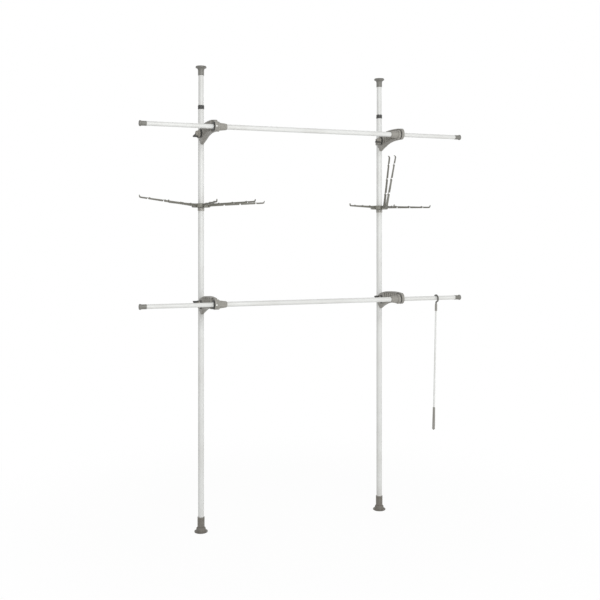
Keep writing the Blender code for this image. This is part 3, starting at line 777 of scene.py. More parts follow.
# Trees of geometry nodes for what repeats or follows a path
class GrowthTree:
    """A geometry node tree with named inputs that ends in one material."""

    KINDS = {int: "NodeSocketInt", float: "NodeSocketFloat", tuple: "NodeSocketVector"}

    def __init__(self, name: str, inputs: dict[str, int | float | Spot]) -> None:
        """Make the tree and its inputs.

        Args:
            name: the tree's name.
            inputs: first value of each input, by name.
        """
        self.tree = bpy.data.node_groups.new(name, "GeometryNodeTree")
        self.identifiers: dict[str, str] = {}
        face = self.tree.interface
        face.new_socket("Geometry", in_out="INPUT", socket_type="NodeSocketGeometry")
        for label, value in inputs.items():
            socket = face.new_socket(label, in_out="INPUT", socket_type=self.KINDS[type(value)])
            socket.default_value = value
            self.identifiers[label] = socket.identifier
        coat = face.new_socket("Material", in_out="INPUT", socket_type="NodeSocketMaterial")
        self.identifiers["Material"] = coat.identifier
        face.new_socket("Geometry", in_out="OUTPUT", socket_type="NodeSocketGeometry")
        self.sizes = add_node(self.tree, "NodeGroupInput")

    def close(self, geometry: Socket) -> None:
        """End the tree: make instances real, smooth them and give them the material.

        Args:
            geometry: the last output of what the tree grows.
        """
        real = add_node(self.tree, "GeometryNodeRealizeInstances", {"Geometry": geometry})
        smooth = add_node(self.tree, "GeometryNodeSetShadeSmooth", {"Geometry": real[0]})
        dressed = add_node(self.tree, "GeometryNodeSetMaterial",
                           {"Geometry": smooth[0], "Material": self.sizes["Material"]})
        add_node(self.tree, "NodeGroupOutput", {"Geometry": dressed[0]})

    def grown(self, base: bpy.types.ID, finish: Finish, place: Matrix, sizes: dict[str, Any]) -> Mesh:
        """Evaluate the tree once.

        Args:
            base: the mesh or curve that the modifier starts from.
            finish: material of the result.
            place: where the result goes.
            sizes: values of the named inputs.

        Returns:
            A plain mesh.
        """
        holder = new_object("working", base)
        step = holder.modifiers.new("Growth", "NODES")
        step.node_group = self.tree
        for label, value in sizes.items():
            step[self.identifiers[label]] = value
        step[self.identifiers["Material"]] = finish.material()
        view = bpy.context.evaluated_depsgraph_get()
        mesh = bpy.data.meshes.new_from_object(holder.evaluated_get(view), depsgraph=view)
        holder.modifiers.remove(step)
        bpy.data.objects.remove(holder, do_unlink=True)
        mesh.transform(place)
        return mesh


class BarsRoundAxis(GrowthTree):
    """Round bars set at even steps about Z: grip ribs, knurls and pivot pins."""

    def __init__(self) -> None:
        """Build the tree."""
        super().__init__("bars_round_axis", {
            "Count": 12, "Sides": 8, "Start": 0.0, "Step": 0.5, "Radius": 0.02, "Bar Radius": 0.001,
            "Bar Length": 0.01, "Lean": (0.0, 0.0, 0.0)})
        tree, sizes = self.tree, self.sizes
        number = add_node(tree, "GeometryNodeInputIndex")[0]
        angle = add_node(tree, "ShaderNodeMath", {0: number, 1: sizes["Step"], 2: sizes["Start"]},
                         operation="MULTIPLY_ADD")[0]
        ahead = add_node(tree, "ShaderNodeMath", {0: angle}, operation="COSINE")[0]
        aside = add_node(tree, "ShaderNodeMath", {0: angle}, operation="SINE")[0]
        outward = add_node(tree, "ShaderNodeCombineXYZ", {"X": ahead, "Y": aside})[0]
        spot = add_node(tree, "ShaderNodeVectorMath", {0: outward, "Scale": sizes["Radius"]},
                        operation="SCALE")[0]
        row = add_node(tree, "GeometryNodeMeshLine", {"Count": sizes["Count"]})[0]
        placed = add_node(tree, "GeometryNodeSetPosition", {"Geometry": row, "Position": spot})[0]
        round_z = add_node(tree, "ShaderNodeCombineXYZ", {"Z": angle})[0]
        euler = add_node(tree, "ShaderNodeVectorMath", {0: sizes["Lean"], 1: round_z},
                         operation="ADD")[0]
        facing = add_node(tree, "FunctionNodeEulerToRotation", {0: euler})[0]
        bar = add_node(tree, "GeometryNodeMeshCylinder",
                       {"Vertices": sizes["Sides"], "Radius": sizes["Bar Radius"],
                        "Depth": sizes["Bar Length"]})[0]
        copies = add_node(tree, "GeometryNodeInstanceOnPoints",
                          {"Points": placed, "Instance": bar, "Rotation": facing})
        self.close(copies[0])


class RingStack(GrowthTree):
    """Round beads stacked along Z: grip rings and the rings of a tread."""

    def __init__(self) -> None:
        """Build the tree."""
        super().__init__("ring_stack", {
            "Count": 4, "Spacing": 0.003, "Radius": 0.01, "Bead": 0.0006, "Shrink": 0.0})
        tree, sizes = self.tree, self.sizes
        bead = add_node(tree, "GeometryNodeCurvePrimitiveCircle",
                        {"Resolution": 10, "Radius": sizes["Bead"]})[0]
        number = add_node(tree, "GeometryNodeInputIndex")[0]
        lost = add_node(tree, "ShaderNodeMath", {0: number, 1: sizes["Shrink"]},
                        operation="MULTIPLY")[0]
        kept = add_node(tree, "ShaderNodeMath", {0: 1.0, 1: lost}, operation="SUBTRACT")[0]
        ring = add_node(tree, "GeometryNodeCurvePrimitiveCircle",
                        {"Resolution": 72, "Radius": sizes["Radius"]})[0]
        torus = add_node(tree, "GeometryNodeCurveToMesh", {"Curve": ring, "Profile Curve": bead})[0]
        offset = add_node(tree, "ShaderNodeCombineXYZ", {"Z": sizes["Spacing"]})[0]
        row = add_node(tree, "GeometryNodeMeshLine", {"Count": sizes["Count"], "Offset": offset})[0]
        flat = add_node(tree, "ShaderNodeCombineXYZ", {"X": kept, "Y": kept, "Z": 1.0})[0]
        copies = add_node(tree, "GeometryNodeInstanceOnPoints",
                          {"Points": row, "Instance": torus, "Scale": flat})
        self.close(copies[0])


class SweptWire(GrowthTree):
    """A round wire along a curve, with closed ends."""

    def __init__(self) -> None:
        """Build the tree."""
        super().__init__("swept_wire", {"Wire": 0.003, "Points": 90})
        tree, sizes = self.tree, self.sizes
        even = add_node(tree, "GeometryNodeResampleCurve",
                        {"Curve": sizes["Geometry"], "Count": sizes["Points"]})[0]
        section = add_node(tree, "GeometryNodeCurvePrimitiveCircle",
                           {"Resolution": 20, "Radius": sizes["Wire"]})[0]
        wire = add_node(tree, "GeometryNodeCurveToMesh",
                        {"Curve": even, "Profile Curve": section, "Fill Caps": True})
        self.close(wire[0])


@dataclass
class Workshop:
    """The trees that every sub-assembly shares."""

    bars: BarsRoundAxis = field(default_factory=BarsRoundAxis)
    rings: RingStack = field(default_factory=RingStack)
    wire: SweptWire = field(default_factory=SweptWire)

    def ribs(self, finish: Finish, place: Matrix, **sizes: Any) -> Mesh:
        """Bars about an axis, spread over a whole turn where no step is given.

        Args:
            finish: their material.
            place: where the axis stands.
            sizes: values of the tree's inputs, with underscores for blanks.

        Returns:
            A plain mesh.
        """
        named = {label.replace("_", " "): value for label, value in sizes.items()}
        named.setdefault("Step", 2.0 * math.pi / named["Count"])
        return self.bars.grown(bpy.data.meshes.new("working"), finish, place, named)

    def beads(self, finish: Finish, place: Matrix, **sizes: Any) -> Mesh:
        """Beads along an axis, the first of them at a place."""
        return self.rings.grown(bpy.data.meshes.new("working"), finish, place, sizes)


# Finished pieces
def mark_wear(mesh: Mesh) -> None:
    """Store how sharply each point of a mesh stands out, for the finishes to read.

    Args:
        mesh: the mesh, which gets an attribute.
    """
    form = bmesh.new()
    form.from_mesh(mesh)
    values = []
    for vert in form.verts:
        angles = [e.calc_face_angle_signed(0.0) for e in vert.link_edges if len(e.link_faces) == 2]
        sharpest = max(angles, default=0.0)
        values.append(min(max((sharpest - WEAR_START) / WEAR_SPAN, 0.0), 1.0))
    form.free()
    layer = mesh.attributes.new("edge_wear", "FLOAT", "POINT")
    layer.data.foreach_set("value", values)


def merged(meshes: Iterable[Mesh]) -> Mesh:
    """Several meshes, which are used up, as one.

    Args:
        meshes: the meshes.

    Returns:
        One mesh with all their faces.
    """
    form = bmesh.new()
    for mesh in meshes:
        form.from_mesh(mesh)
        bpy.data.meshes.remove(mesh)
    return Shape(form, turn_out=False).mesh()


def deliver(name: str, finish: Finish, body: str, node: str | None, *meshes: Mesh,
            slot: Slot | None = None) -> None:
    """Make a finished piece of meshes that are already in their place.

    Args:
        name: the piece's name.
        finish: its material.
        body: the body it moves with.
        node: the solid that it stands for, if any.
        meshes: its meshes, in the rack's frame.
        slot: not used.
    """
    mesh = meshes[0] if len(meshes) == 1 else merged(meshes)
    mesh.name = name
    mesh.materials.clear()
    mesh.materials.append(finish.material())
    mesh.shade_smooth()
    mesh.set_sharp_from_angle(angle=math.radians(CRISP_ANGLE))
    mark_wear(mesh)
    piece = new_object(name, mesh)
    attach(piece, body)
    if node:
        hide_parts(node)
    LOG.info("%s on %s: %d faces, %s", name, body, len(mesh.polygons), finish.name)


@dataclass
class Pole:
    """A telescopic pole with its foot, lock collar and ceiling plate."""

    shop: Workshop
    side: Side
    foot_radius: float = 0.035
    foot_pad: float = 0.0035
    foot_floor: float = 0.0135
    foot_base_top: float = 0.0058
    foot_step: Point = (0.0245, 0.0225)
    foot_step_bottom: float = 0.0118
    foot_sleeve: Point = (0.0182, 0.0270)
    foot_top: float = 0.078
    collar: Point = (2.178, 2.199)
    collar_radius: float = 0.0163
    collar_lip: float = 0.009
    collar_ribs: int = 32
    cap_radius: float = 0.028
    cap_bottom: float = 2.353
    cap_sleeve: float = 0.0156
    cap_pad: float = 0.003
    cap_flange: float = 0.010
    cap_flare: float = 0.012
    cap_rim: float = 0.0055
    insert: float = 0.500

    def build(self) -> None:
        """Make every piece of the pole."""
        self.build_tubes()
        self.build_foot()
        self.build_sole()
        self.build_collar()
        self.build_ceiling_plate()
        self.build_ceiling_rubber()

    @property
    def place(self) -> Matrix:
        """Where the pole stands."""
        return shift(PLAN.pole_x(self.side))

    @property
    def upper_body(self) -> str:
        """The body that the upper tube belongs to."""
        return f"{self.side.word}_upper_pole"

    def build_tubes(self) -> None:
        """Lower and upper tube."""
        word = self.side.word
        shelf = self.collar[1] - self.collar_lip - PLAN.gap
        top = PLAN.height - self.cap_pad - self.cap_flange - 2.0 * PLAN.gap
        lower = thin_tube(PLAN.lower_tube, self.foot_floor + PLAN.gap, shelf)
        upper = thin_tube(PLAN.upper_tube, self.collar[1] - self.insert, top)
        for part, tube, body in (("lower", lower, "poles"), ("upper", upper, self.upper_body)):
            deliver(f"{word}_{part}_pole_tube", TUBE_COAT, body, f"{word}_{part}_tube",
                    tube.moved(self.place).mesh())

    def build_foot(self) -> None:
        """Stepped bell foot."""
        edge, rim, base = PLAN.edge, self.foot_radius, self.foot_base_top
        socket = PLAN.lower_tube + PLAN.gap
        sole = self.foot_pad + PLAN.gap
        step, step_top = self.foot_step
        sleeve, sleeve_bottom = self.foot_sleeve
        band = self.foot_top - 8.0 * edge
        profile = [(0.0, self.foot_floor), (socket, self.foot_floor), (socket, self.foot_top)]
        profile += [(sleeve, self.foot_top), (sleeve, band), (sleeve - 0.8 * edge, band)]
        profile += [(sleeve - 0.8 * edge, band - edge), (sleeve, band - edge)]
        profile += [(sleeve, sleeve_bottom + edge), (sleeve - 0.7 * edge, sleeve_bottom)]
        profile += [(step - edge, step_top), (step + 0.6 * edge, self.foot_step_bottom)]
        profile += [(step + edge, self.foot_step_bottom - edge)]
        profile += bezier((step + 1.5 * edge, base + 2.5 * edge), (step + 3.0 * edge, base + edge),
                          (rim - 3.0 * edge, base + edge), (rim - edge, base + 0.6 * edge), count=6)
        profile += [(rim, sole), (0.0, sole)]
        deliver(f"{self.side.word}_bell_foot", FOOT_POLYPROPYLENE, "poles", f"{self.side.word}_foot",
                Shape.turned(profile, 1.2 * edge).moved(self.place).mesh())

    def build_sole(self) -> None:
        """Rubber sole under the foot, with a ringed tread."""
        edge, top = PLAN.edge, self.foot_pad
        rim, face = self.foot_radius - edge, 0.7 * edge
        profile = [(0.0, face), (rim - edge, face), (rim, 1.4 * edge), (rim, top), (0.0, top)]
        tread = self.shop.beads(PAD_RUBBER, self.place @ shift(z=face), Count=6, Spacing=0.0,
                                Radius=rim - 2.0 * edge, Bead=0.7 * edge, Shrink=0.14)
        deliver(f"{self.side.word}_rubber_sole", PAD_RUBBER, "poles", f"{self.side.word}_foot_pad",
                Shape.turned(profile, edge).moved(self.place).mesh(), tread)

    def build_collar(self) -> None:
        """Twist collar with grip ribs on both sides of a plain band."""
        edge = PLAN.edge
        bottom, top = self.collar
        skirt, lip = PLAN.lower_tube + PLAN.gap, PLAN.upper_tube + PLAN.gap
        shelf = top - self.collar_lip
        wide = self.collar_radius - 0.4 * edge
        middle = (bottom + top) / 2.0
        profile = [(skirt, bottom), (wide - 0.3 * edge, bottom), (wide, bottom + edge)]
        profile += [(wide, middle - edge), (wide - 0.5 * edge, middle - 0.7 * edge)]
        profile += [(wide - 0.5 * edge, middle + 0.7 * edge), (wide, middle + edge)]
        profile += [(wide, top - 2.5 * edge), (wide - edge, top), (lip, top)]
        profile += [(lip, shelf), (skirt, shelf)]
        ribs = [self.shop.ribs(DARK_ABS, self.place @ shift(z=height), Count=self.collar_ribs,
                               Radius=wide - 0.2 * edge, Bar_Radius=0.55 * edge, Bar_Length=6.6 * edge)
                for height in (bottom + 5.2 * edge, top - 6.3 * edge)]
        deliver(f"{self.side.word}_twist_collar", DARK_ABS, f"{self.side.word}_collar",
                f"{self.side.word}_lock_collar",
                Shape.turned(profile, 0.6 * edge).moved(self.place).mesh(), *ribs)

    def build_ceiling_plate(self) -> None:
        """Ceiling plate with a flared sleeve."""
        edge, rim, sleeve = PLAN.edge, self.cap_radius, self.cap_sleeve
        socket = PLAN.upper_tube + PLAN.gap
        top = PLAN.height - self.cap_pad - PLAN.gap
        under = top - self.cap_flange
        rim_under = top - self.cap_rim
        profile = [(0.0, under), (socket, under), (socket, self.cap_bottom), (sleeve, self.cap_bottom)]
        profile += bezier((sleeve, under - self.cap_flare), (sleeve, under - self.cap_flare / 3.0),
                          (sleeve + 2.0 * edge, rim_under - 2.0 * edge), (rim - edge, rim_under),
                          count=11)
        profile += [(rim, rim_under + edge), (rim, top), (0.0, top)]
        deliver(f"{self.side.word}_ceiling_plate", CAP_ABS, self.upper_body,
                f"{self.side.word}_ceiling_cap", Shape.turned(profile, edge).moved(self.place).mesh())

    def build_ceiling_rubber(self) -> None:
        """Rubber disc on the ceiling plate, with a ringed tread."""
        edge = PLAN.edge
        low, high = PLAN.height - self.cap_pad, PLAN.height - 0.7 * edge
        rim = self.cap_radius - edge
        profile = [(0.0, low), (rim, low), (rim, high - 0.7 * edge), (rim - edge, high), (0.0, high)]
        tread = self.shop.beads(PAD_RUBBER, self.place @ shift(z=high), Count=5, Spacing=0.0,
                                Radius=rim - 2.0 * edge, Bead=0.7 * edge, Shrink=0.16)
        deliver(f"{self.side.word}_ceiling_rubber", PAD_RUBBER, self.upper_body,
                f"{self.side.word}_ceiling_pad",
                Shape.turned(profile, edge).moved(self.place).mesh(), tread)


@dataclass
class Bracket:
    """A ribbed bracket with its pole clamp, eye, bush, collet nut and clamp knob."""

    shop: Workshop
    level: RailLevel
    side: Side
    knob_turn: float
    eye_radius: float = 0.029
    eye_rise: float = 0.004
    eye_end: float = 0.0125
    eye_clearance: float = 0.0355
    arm_centre: float = 0.002
    arm_half: Point = (0.017, 0.012)
    arm_back: float = 0.010
    arm_top: float = 0.003
    arm_round: float = 0.0026
    under_handles: tuple[Point, Point] = ((0.062, -0.032), (0.140, -0.020))
    crest_handles: tuple[Point, Point] = ((0.045, 0.034), (0.150, 0.040))
    web_half: float = 0.008
    rim: float = 0.006
    heel: Point = (0.019, -0.067)
    heel_round: float = 0.004
    heel_taper_top: float = -0.034
    heel_tip_half: float = 0.0055
    clamp_radius: float = 0.0205
    clamp_bottom: float = -0.032
    slit: Point = (0.002, 0.068)
    pockets: Point = (0.078, 0.212)
    pocket_count: int = 6
    pocket_round: float = 0.003
    pocket_steps: int = 4
    rib: float = 0.004
    cut_round: float = 0.0006
    screw: Point = (0.052, -0.014)
    screw_radius: float = 0.004
    bush_radius: float = 0.0222
    bush_start: float = -0.0055
    button: Point = (0.0042, 0.0012)
    nut_ring: Point = (0.025, 0.0122)
    nut_cone: Point = (0.0196, 0.0152)
    nut_length: float = 0.051
    nut_ribs: int = 36
    nut_flutes: int = 14
    knob_base: Point = (0.0215, 0.007)
    knob_barrel: float = 0.007
    knob_ridges: int = 16
    knob_waist: Point = (0.0132, 0.022)
    knob_crown: float = 0.029
    knob_tip: Point = (0.016, 0.0388)
    knob_tip_radius: float = 0.0042
    knob_blade: float = 0.0065
    knob_knurls: int = 24
    washer: Point = (0.0085, 0.0014)
    hexagon: Point = (0.0075, 0.0056)
    screw_end: float = 0.0025
    beyond: float = 0.1

    def build(self) -> None:
        """Make every piece of the bracket."""
        self.build_arm()
        self.build_bush()
        if self.side is Side.LEFT:
            self.build_button()
        self.build_nut()
        self.build_knob_base()
        self.build_knob_bell()
        self.build_knob_wing()
        self.build_fastener()

    @property
    def rail_body(self) -> str:
        """The body that carries the arm."""
        return f"{self.level.word}_rail"

    @property
    def stem(self) -> str:
        """First words of the names of this bracket's pieces."""
        return f"{self.level.word}_{self.side.word}"

    @property
    def axis(self) -> Matrix:
        """Where the rail passes through the eye."""
        return shift(PLAN.pole_x(self.side), -PLAN.rail_reach, self.level.value)

    @property
    def taper(self) -> float:
        """How much each side of the arm closes in for each metre forwards."""
        return (self.arm_half[0] - self.arm_half[1]) / PLAN.rail_reach

    @property
    def screw_half(self) -> float:
        """Half the arm's thickness at the clamp screw."""
        return self.arm_half[0] - self.taper * self.screw[0]

    @property
    def knob_place(self) -> Matrix:
        """Where the knob sits on the left face of the clamp, turned as it was left."""
        seat = self.screw_half - self.arm_centre + 2.0 * PLAN.gap
        return self.on_screw(-seat) @ AGAINST_X @ turn(self.knob_turn, "Z")

    def on_screw(self, aside: float) -> Matrix:
        """A place on the clamp screw's axis, by its distance from the pole along X."""
        return shift(PLAN.pole_x(self.side) + aside, -self.screw[0], self.level.value + self.screw[1])

    def underside(self, count: int) -> Profile:
        """The concave lower edge from the heel to the eye."""
        return bezier(self.heel, *self.under_handles,
                      (PLAN.rail_reach, self.eye_rise - self.eye_radius), count)

    def crest(self, count: int) -> Profile:
        """The convex upper edge from the clamp to the eye."""
        return bezier((self.arm_back, self.arm_top), *self.crest_handles,
                      (PLAN.rail_reach, self.eye_rise + self.eye_radius), count)

    def height_at(self, curve: Profile, forward: float) -> float:
        """Find the height of a curve at one distance from the pole.

        Args:
            curve: the curve's points in order.
            forward: the distance.

        Returns:
            The height.
        """
        for (f0, z0), (f1, z1) in zip(curve, curve[1:]):
            if f0 <= forward <= f1:
                return z0 + (z1 - z0) * (forward - f0) / (f1 - f0)
        return curve[-1][1]

    def outline(self) -> Profile:
        """Draw the arm's side view.

        Returns:
            Its (forward, up) points.
        """
        soft, back = self.heel_round, self.arm_back
        low = self.heel[1] + soft
        heel = [(back, self.arm_top), (back, low)]
        heel += arc((back + soft, low), soft, start=190.0, end=270.0, steps=4)
        eye = arc((PLAN.rail_reach, self.eye_rise), self.eye_radius, start=-90.0, end=90.0, steps=36)
        return heel + self.underside(count=24)[:-1] + eye + self.crest(count=22)[-2:0:-1]

    def pocket_tools(self, low: float, high: float) -> list[Shape]:
        """Cutters for the hollows between the ribs of one side.

        Args:
            low: left end of the cutters along X.
            high: their right end.

        Returns:
            One cutter for each hollow.
        """
        start, end = self.pockets
        under, over = self.underside(count=60), self.crest(count=60)
        pitch = (end - start) / self.pocket_count
        tools = []
        for number in range(self.pocket_count):
            first = start + number * pitch
            last = first + pitch - self.rib
            count = self.pocket_steps
            steps = [first + (last - first) * share / count for share in range(count + 1)]
            loop = [(f, self.height_at(under, f) + self.rim) for f in steps]
            loop += [(f, self.height_at(over, f) - self.rim) for f in reversed(steps)]
            tools.append(Shape.plate(eased(loop, self.pocket_round, axis=False), low, high))
        return tools

    def heel_tool(self, hand: float) -> Shape:
        """Make the cutter beside the heel, which narrows to its tip.

        Args:
            hand: minus one for the left side, one for the right.

        Returns:
            The cutter.
        """
        middle, brow, beyond = self.arm_centre, self.heel_taper_top, self.beyond
        wide = self.arm_half[0] + PLAN.edge
        near, far = middle + hand * self.heel_tip_half, middle + hand * beyond
        loop = [(near, self.heel[1] - PLAN.edge), (middle + hand * wide, brow)]
        loop += [(far, brow), (far, -beyond), (near, -beyond)]
        return Shape.plate(loop, -beyond, beyond).moved(turn(90.0, "Z"))

    def build_arm(self) -> None:
        """The moulded arm: clamp with a slit, ribbed and arched arm, eye for the rail."""
        far, gap = self.beyond, PLAN.gap
        left, right = self.arm_centre - self.arm_half[0], self.arm_centre + self.arm_half[0]
        arm = Shape.plate(self.outline(), left, right, self.taper, self.arm_round, segments=4)
        eye = shift(y=-PLAN.rail_reach) @ ALONG_X
        arm = arm.cut(Shape.bar(self.eye_clearance, -far, 0.0, sides=63).moved(eye),
                      Shape.bar(self.eye_clearance, self.eye_end, far, sides=63).moved(eye),
                      self.heel_tool(-1.0), self.heel_tool(1.0))
        arm = arm.joined(Shape.bar(self.clamp_radius, self.clamp_bottom, self.arm_top - gap, sides=64))
        slit, depth = self.slit
        bolt = shift(y=-self.screw[0], z=self.screw[1]) @ ALONG_X
        arm = arm.cut(Shape.bar(PLAN.lower_tube + gap, -far, far, sides=64),
                      Shape.block((-slit / 2.0, -depth, -far), (slit / 2.0, 0.0, far)),
                      Shape.bar(self.screw_radius + gap, -far, far, sides=24).moved(bolt),
                      Shape.bar(PLAN.centre_tube + gap, -far, far, sides=64).moved(eye))
        if self.side is Side.LEFT:
            front = shift(self.eye_end / 2.0, -PLAN.rail_reach) @ TOWARDS_ROOM
            arm = arm.cut(Shape.bar(self.button[0] + gap, 0.0, far, sides=40).moved(front))
        arm = arm.cut(*self.pocket_tools(self.arm_centre + self.web_half, far))
        arm = arm.cut(*self.pocket_tools(-far, self.arm_centre - self.web_half))
        arm = arm.softened(self.cut_round, CUT_ANGLE)
        deliver(f"{self.stem}_arm", GREY_ABS, self.rail_body, f"{self.stem}_bracket",
                arm.moved(shift(PLAN.pole_x(self.side), 0.0, self.level.value)).mesh())

    def build_bush(self) -> None:
        """Dark bush against the left face of the eye."""
        bore, edge, gap = PLAN.centre_tube + PLAN.gap, PLAN.edge, PLAN.gap
        rim, start = self.bush_radius, self.bush_start
        profile = [(bore, start), (rim - edge, start), (rim, start + edge), (rim, -gap), (bore, -gap)]
        deliver(f"{self.stem}_eye_bush", DARK_ABS, self.rail_body, f"{self.stem}_bush",
                Shape.turned(profile, edge).moved(self.axis @ ALONG_X).mesh())

    def build_button(self) -> None:
        """White lock button that pins the centre tube in the front of the eye."""
        radius, proud = self.button
        edge, low, head = PLAN.edge, PLAN.centre_tube + PLAN.gap, self.eye_radius + proud
        profile = [(0.0, low), (radius, low), (radius, head - edge)]
        profile += [(radius - edge, head - edge / 4.0), (0.0, head)]
        button = Shape.turned(profile, 0.6 * edge, sides=48)
        deliver(f"{self.stem}_lock_button", WHITE_ABS, self.rail_body, f"{self.stem}_button",
                button.moved(self.axis @ shift(self.eye_end / 2.0) @ TOWARDS_ROOM).mesh())

    def build_nut(self) -> None:
        """Collet nut: a ribbed ring and a fluted cone that closes on the centre tube."""
        edge, bore, length = PLAN.edge, PLAN.centre_tube + PLAN.gap, self.nut_length
        ring, ring_end = self.nut_ring[0] - 0.5 * edge, self.nut_ring[1]
        wide, narrow = self.nut_cone
        profile = [(bore, 0.0), (ring, 0.0), (ring, ring_end - edge), (ring - edge, ring_end)]
        profile += [(wide, ring_end + PLAN.gap), (narrow, length - 3.0 * edge)]
        profile += [(narrow - edge, length), (bore, length)]
        right = self.side is Side.RIGHT
        seat = self.bush_start - PLAN.gap if right else self.eye_end + PLAN.gap
        place = self.axis @ shift(seat) @ (AGAINST_X if right else ALONG_X)
        ribs = self.shop.ribs(GREY_ABS, place @ shift(z=ring_end / 2.0), Count=self.nut_ribs,
                              Radius=ring - 0.25 * edge, Bar_Radius=0.75 * edge,
                              Bar_Length=ring_end - 2.4 * edge)
        cone = length - ring_end - 9.0 * edge
        lean = math.atan2(wide - narrow, length - ring_end)
        flutes = self.shop.ribs(GREY_ABS, place @ shift(z=ring_end + 4.0 * edge + cone / 2.0),
                                Count=self.nut_flutes, Radius=(wide + narrow) / 2.0 - 0.5 * edge,
                                Bar_Radius=edge, Bar_Length=cone, Lean=(0.0, -lean, 0.0), Sides=10)
        deliver(f"{self.stem}_collet_nut", GREY_ABS, f"{self.stem}_nut", f"{self.stem}_nut",
                Shape.turned(profile, edge).moved(place).mesh(), ribs, flutes)

    def build_knob_base(self) -> None:
        """Dark knurled base of the clamp knob, with the screw's shank."""
        edge, thread, shank = PLAN.edge, self.screw_radius, 2.0 * self.screw_half
        radius, top = self.knob_base
        rim = radius - 0.4 * edge
        profile = [(0.0, -shank), (thread, -shank), (thread, 0.0), (rim, 0.0), (rim, top), (0.0, top)]
        knurls = self.shop.ribs(DARK_ABS, self.knob_place @ shift(z=top / 2.0), Count=self.knob_knurls,
                                Radius=radius - 0.75 * edge, Bar_Radius=0.75 * edge,
                                Bar_Length=top - 0.8 * edge)
        deliver(f"{self.stem}_knob_base", DARK_ABS, f"{self.stem}_knob", None,
                Shape.turned(profile, 0.6 * edge).moved(self.knob_place).mesh(), knurls)

    def build_knob_bell(self) -> None:
        """Ridged bell of the clamp knob."""
        edge, barrel = PLAN.edge, self.knob_barrel
        waist, height = self.knob_waist
        wide, foot = self.knob_base[0] - 3.0 * edge, self.knob_base[1] - PLAN.gap
        neck = foot + barrel
        profile = [(0.0, foot), (wide, foot), (wide, neck)]
        profile += bezier((wide - edge, neck + edge), (waist + edge, neck + 2.0 * edge),
                          (waist, height - 5.0 * edge), (waist, height), count=8)
        profile += [(waist - 2.0 * edge, self.knob_crown - 1.5 * edge), (0.0, self.knob_crown)]
        ridges = self.shop.ribs(KNOB_ABS, self.knob_place @ shift(z=foot + barrel / 2.0),
                                Count=self.knob_ridges, Radius=wide - 0.2 * edge,
                                Bar_Radius=1.4 * edge, Bar_Length=barrel - edge)
        deliver(f"{self.stem}_knob_bell", KNOB_ABS, f"{self.stem}_knob", f"{self.stem}_knob",
                Shape.turned(profile, 0.8 * edge).moved(self.knob_place).mesh(), ridges)

    def build_knob_wing(self) -> None:
        """Dark wing of the clamp knob."""
        edge, half = PLAN.edge, self.knob_blade / 2.0
        radius, top = self.knob_base
        waist, height = self.knob_waist
        wing = [(-waist / 2.0, height / 2.0), (radius - edge, top + edge)]
        wing += arc(self.knob_tip, self.knob_tip_radius, start=-10.0, end=160.0, steps=14)
        wing += [(0.0, self.knob_crown - edge)]
        blade = Shape.plate(wing, -half, half, edge_round=1.6 * edge, segments=4)
        deliver(f"{self.stem}_knob_wing", DARK_ABS, f"{self.stem}_knob", None,
                blade.moved(self.knob_place).mesh())

    def build_fastener(self) -> None:
        """Washer, hexagon nut and end of the clamp screw, on the right face of the clamp."""
        edge, shank = PLAN.edge, self.screw_radius
        rim, thick = self.washer
        corner, tall = self.hexagon
        crown = thick + tall
        sunk, tip = crown - edge, crown + self.screw_end
        washer = [(shank, 0.0), (rim, 0.0), (rim, thick), (shank, thick)]
        end = [(0.0, sunk), (shank, sunk), (shank, tip), (0.0, tip)]
        shapes = (Shape.turned(washer, 0.4 * edge, sides=48),
                  Shape.bar(corner, thick, crown, sides=6).softened(0.6 * edge),
                  Shape.turned(end, 0.8 * edge, sides=32))
        place = self.on_screw(self.arm_centre + self.screw_half) @ ALONG_X
        deliver(f"{self.stem}_clamp_fastener", ZINC_PLATE, self.rail_body, None,
                *[shape.moved(place).mesh() for shape in shapes])


@dataclass
class Rail:
    """A telescopic rail: a centre tube, a sliding tube at each end and their caps."""

    level: RailLevel
    left_end: float = -0.0045
    right_end: float = 0.0115
    insert: float = 0.160
    cap_radius: float = 0.0121
    cap_rim: float = 0.0142
    cap_rim_width: float = 0.0065
    cap_sleeve: float = 0.032
    cap_dome: float = 0.0045

    def build(self) -> None:
        """Make every piece of the rail."""
        word, half = self.level.word, PLAN.pole_spacing / 2.0
        centre = thin_tube(PLAN.centre_tube, self.left_end - half, self.right_end + half)
        deliver(f"{word}_middle_rail", TUBE_COAT, f"{word}_rail", f"{word}_centre_tube",
                centre.moved(self.axis @ ALONG_X).mesh())
        for side in Side:
            self.build_end(side)

    @property
    def axis(self) -> Matrix:
        """The middle of the rail."""
        return shift(0.0, -PLAN.rail_reach, self.level.value)

    def build_end(self, side: Side) -> None:
        """Make one sliding tube with its push-on cap.

        Args:
            side: the end of the rail.
        """
        edge, stem = PLAN.edge, f"{self.level.word}_{side.word}"
        tube_end = PLAN.rail_half_length - self.cap_dome
        away = ALONG_X if side is Side.RIGHT else AGAINST_X
        place = self.axis @ shift(side.value * tube_end) @ away
        inner_end = PLAN.pole_spacing / 2.0 - self.insert - tube_end
        deliver(f"{stem}_sliding_rail", TUBE_COAT, f"{stem}_end", f"{stem}_end_tube",
                thin_tube(PLAN.end_tube, inner_end, 0.0).moved(place).mesh())
        bore, rim = PLAN.end_tube + PLAN.gap, edge - self.cap_rim_width
        neck = self.cap_radius - 0.3 * edge
        profile = [(0.0, PLAN.gap), (bore, PLAN.gap), (bore, -self.cap_sleeve)]
        profile += [(self.cap_radius, -self.cap_sleeve), (neck, -self.cap_sleeve + 3.0 * edge)]
        profile += [(neck, rim - 3.0 * edge), (self.cap_rim, rim + edge), (self.cap_rim, edge)]
        profile += [(self.cap_radius - edge, self.cap_dome - edge), (0.0, self.cap_dome)]
        deliver(f"{stem}_push_cap", CAP_ABS, f"{stem}_end", f"{stem}_end_cap",
                Shape.turned(profile, 1.4 * edge).moved(place).mesh())


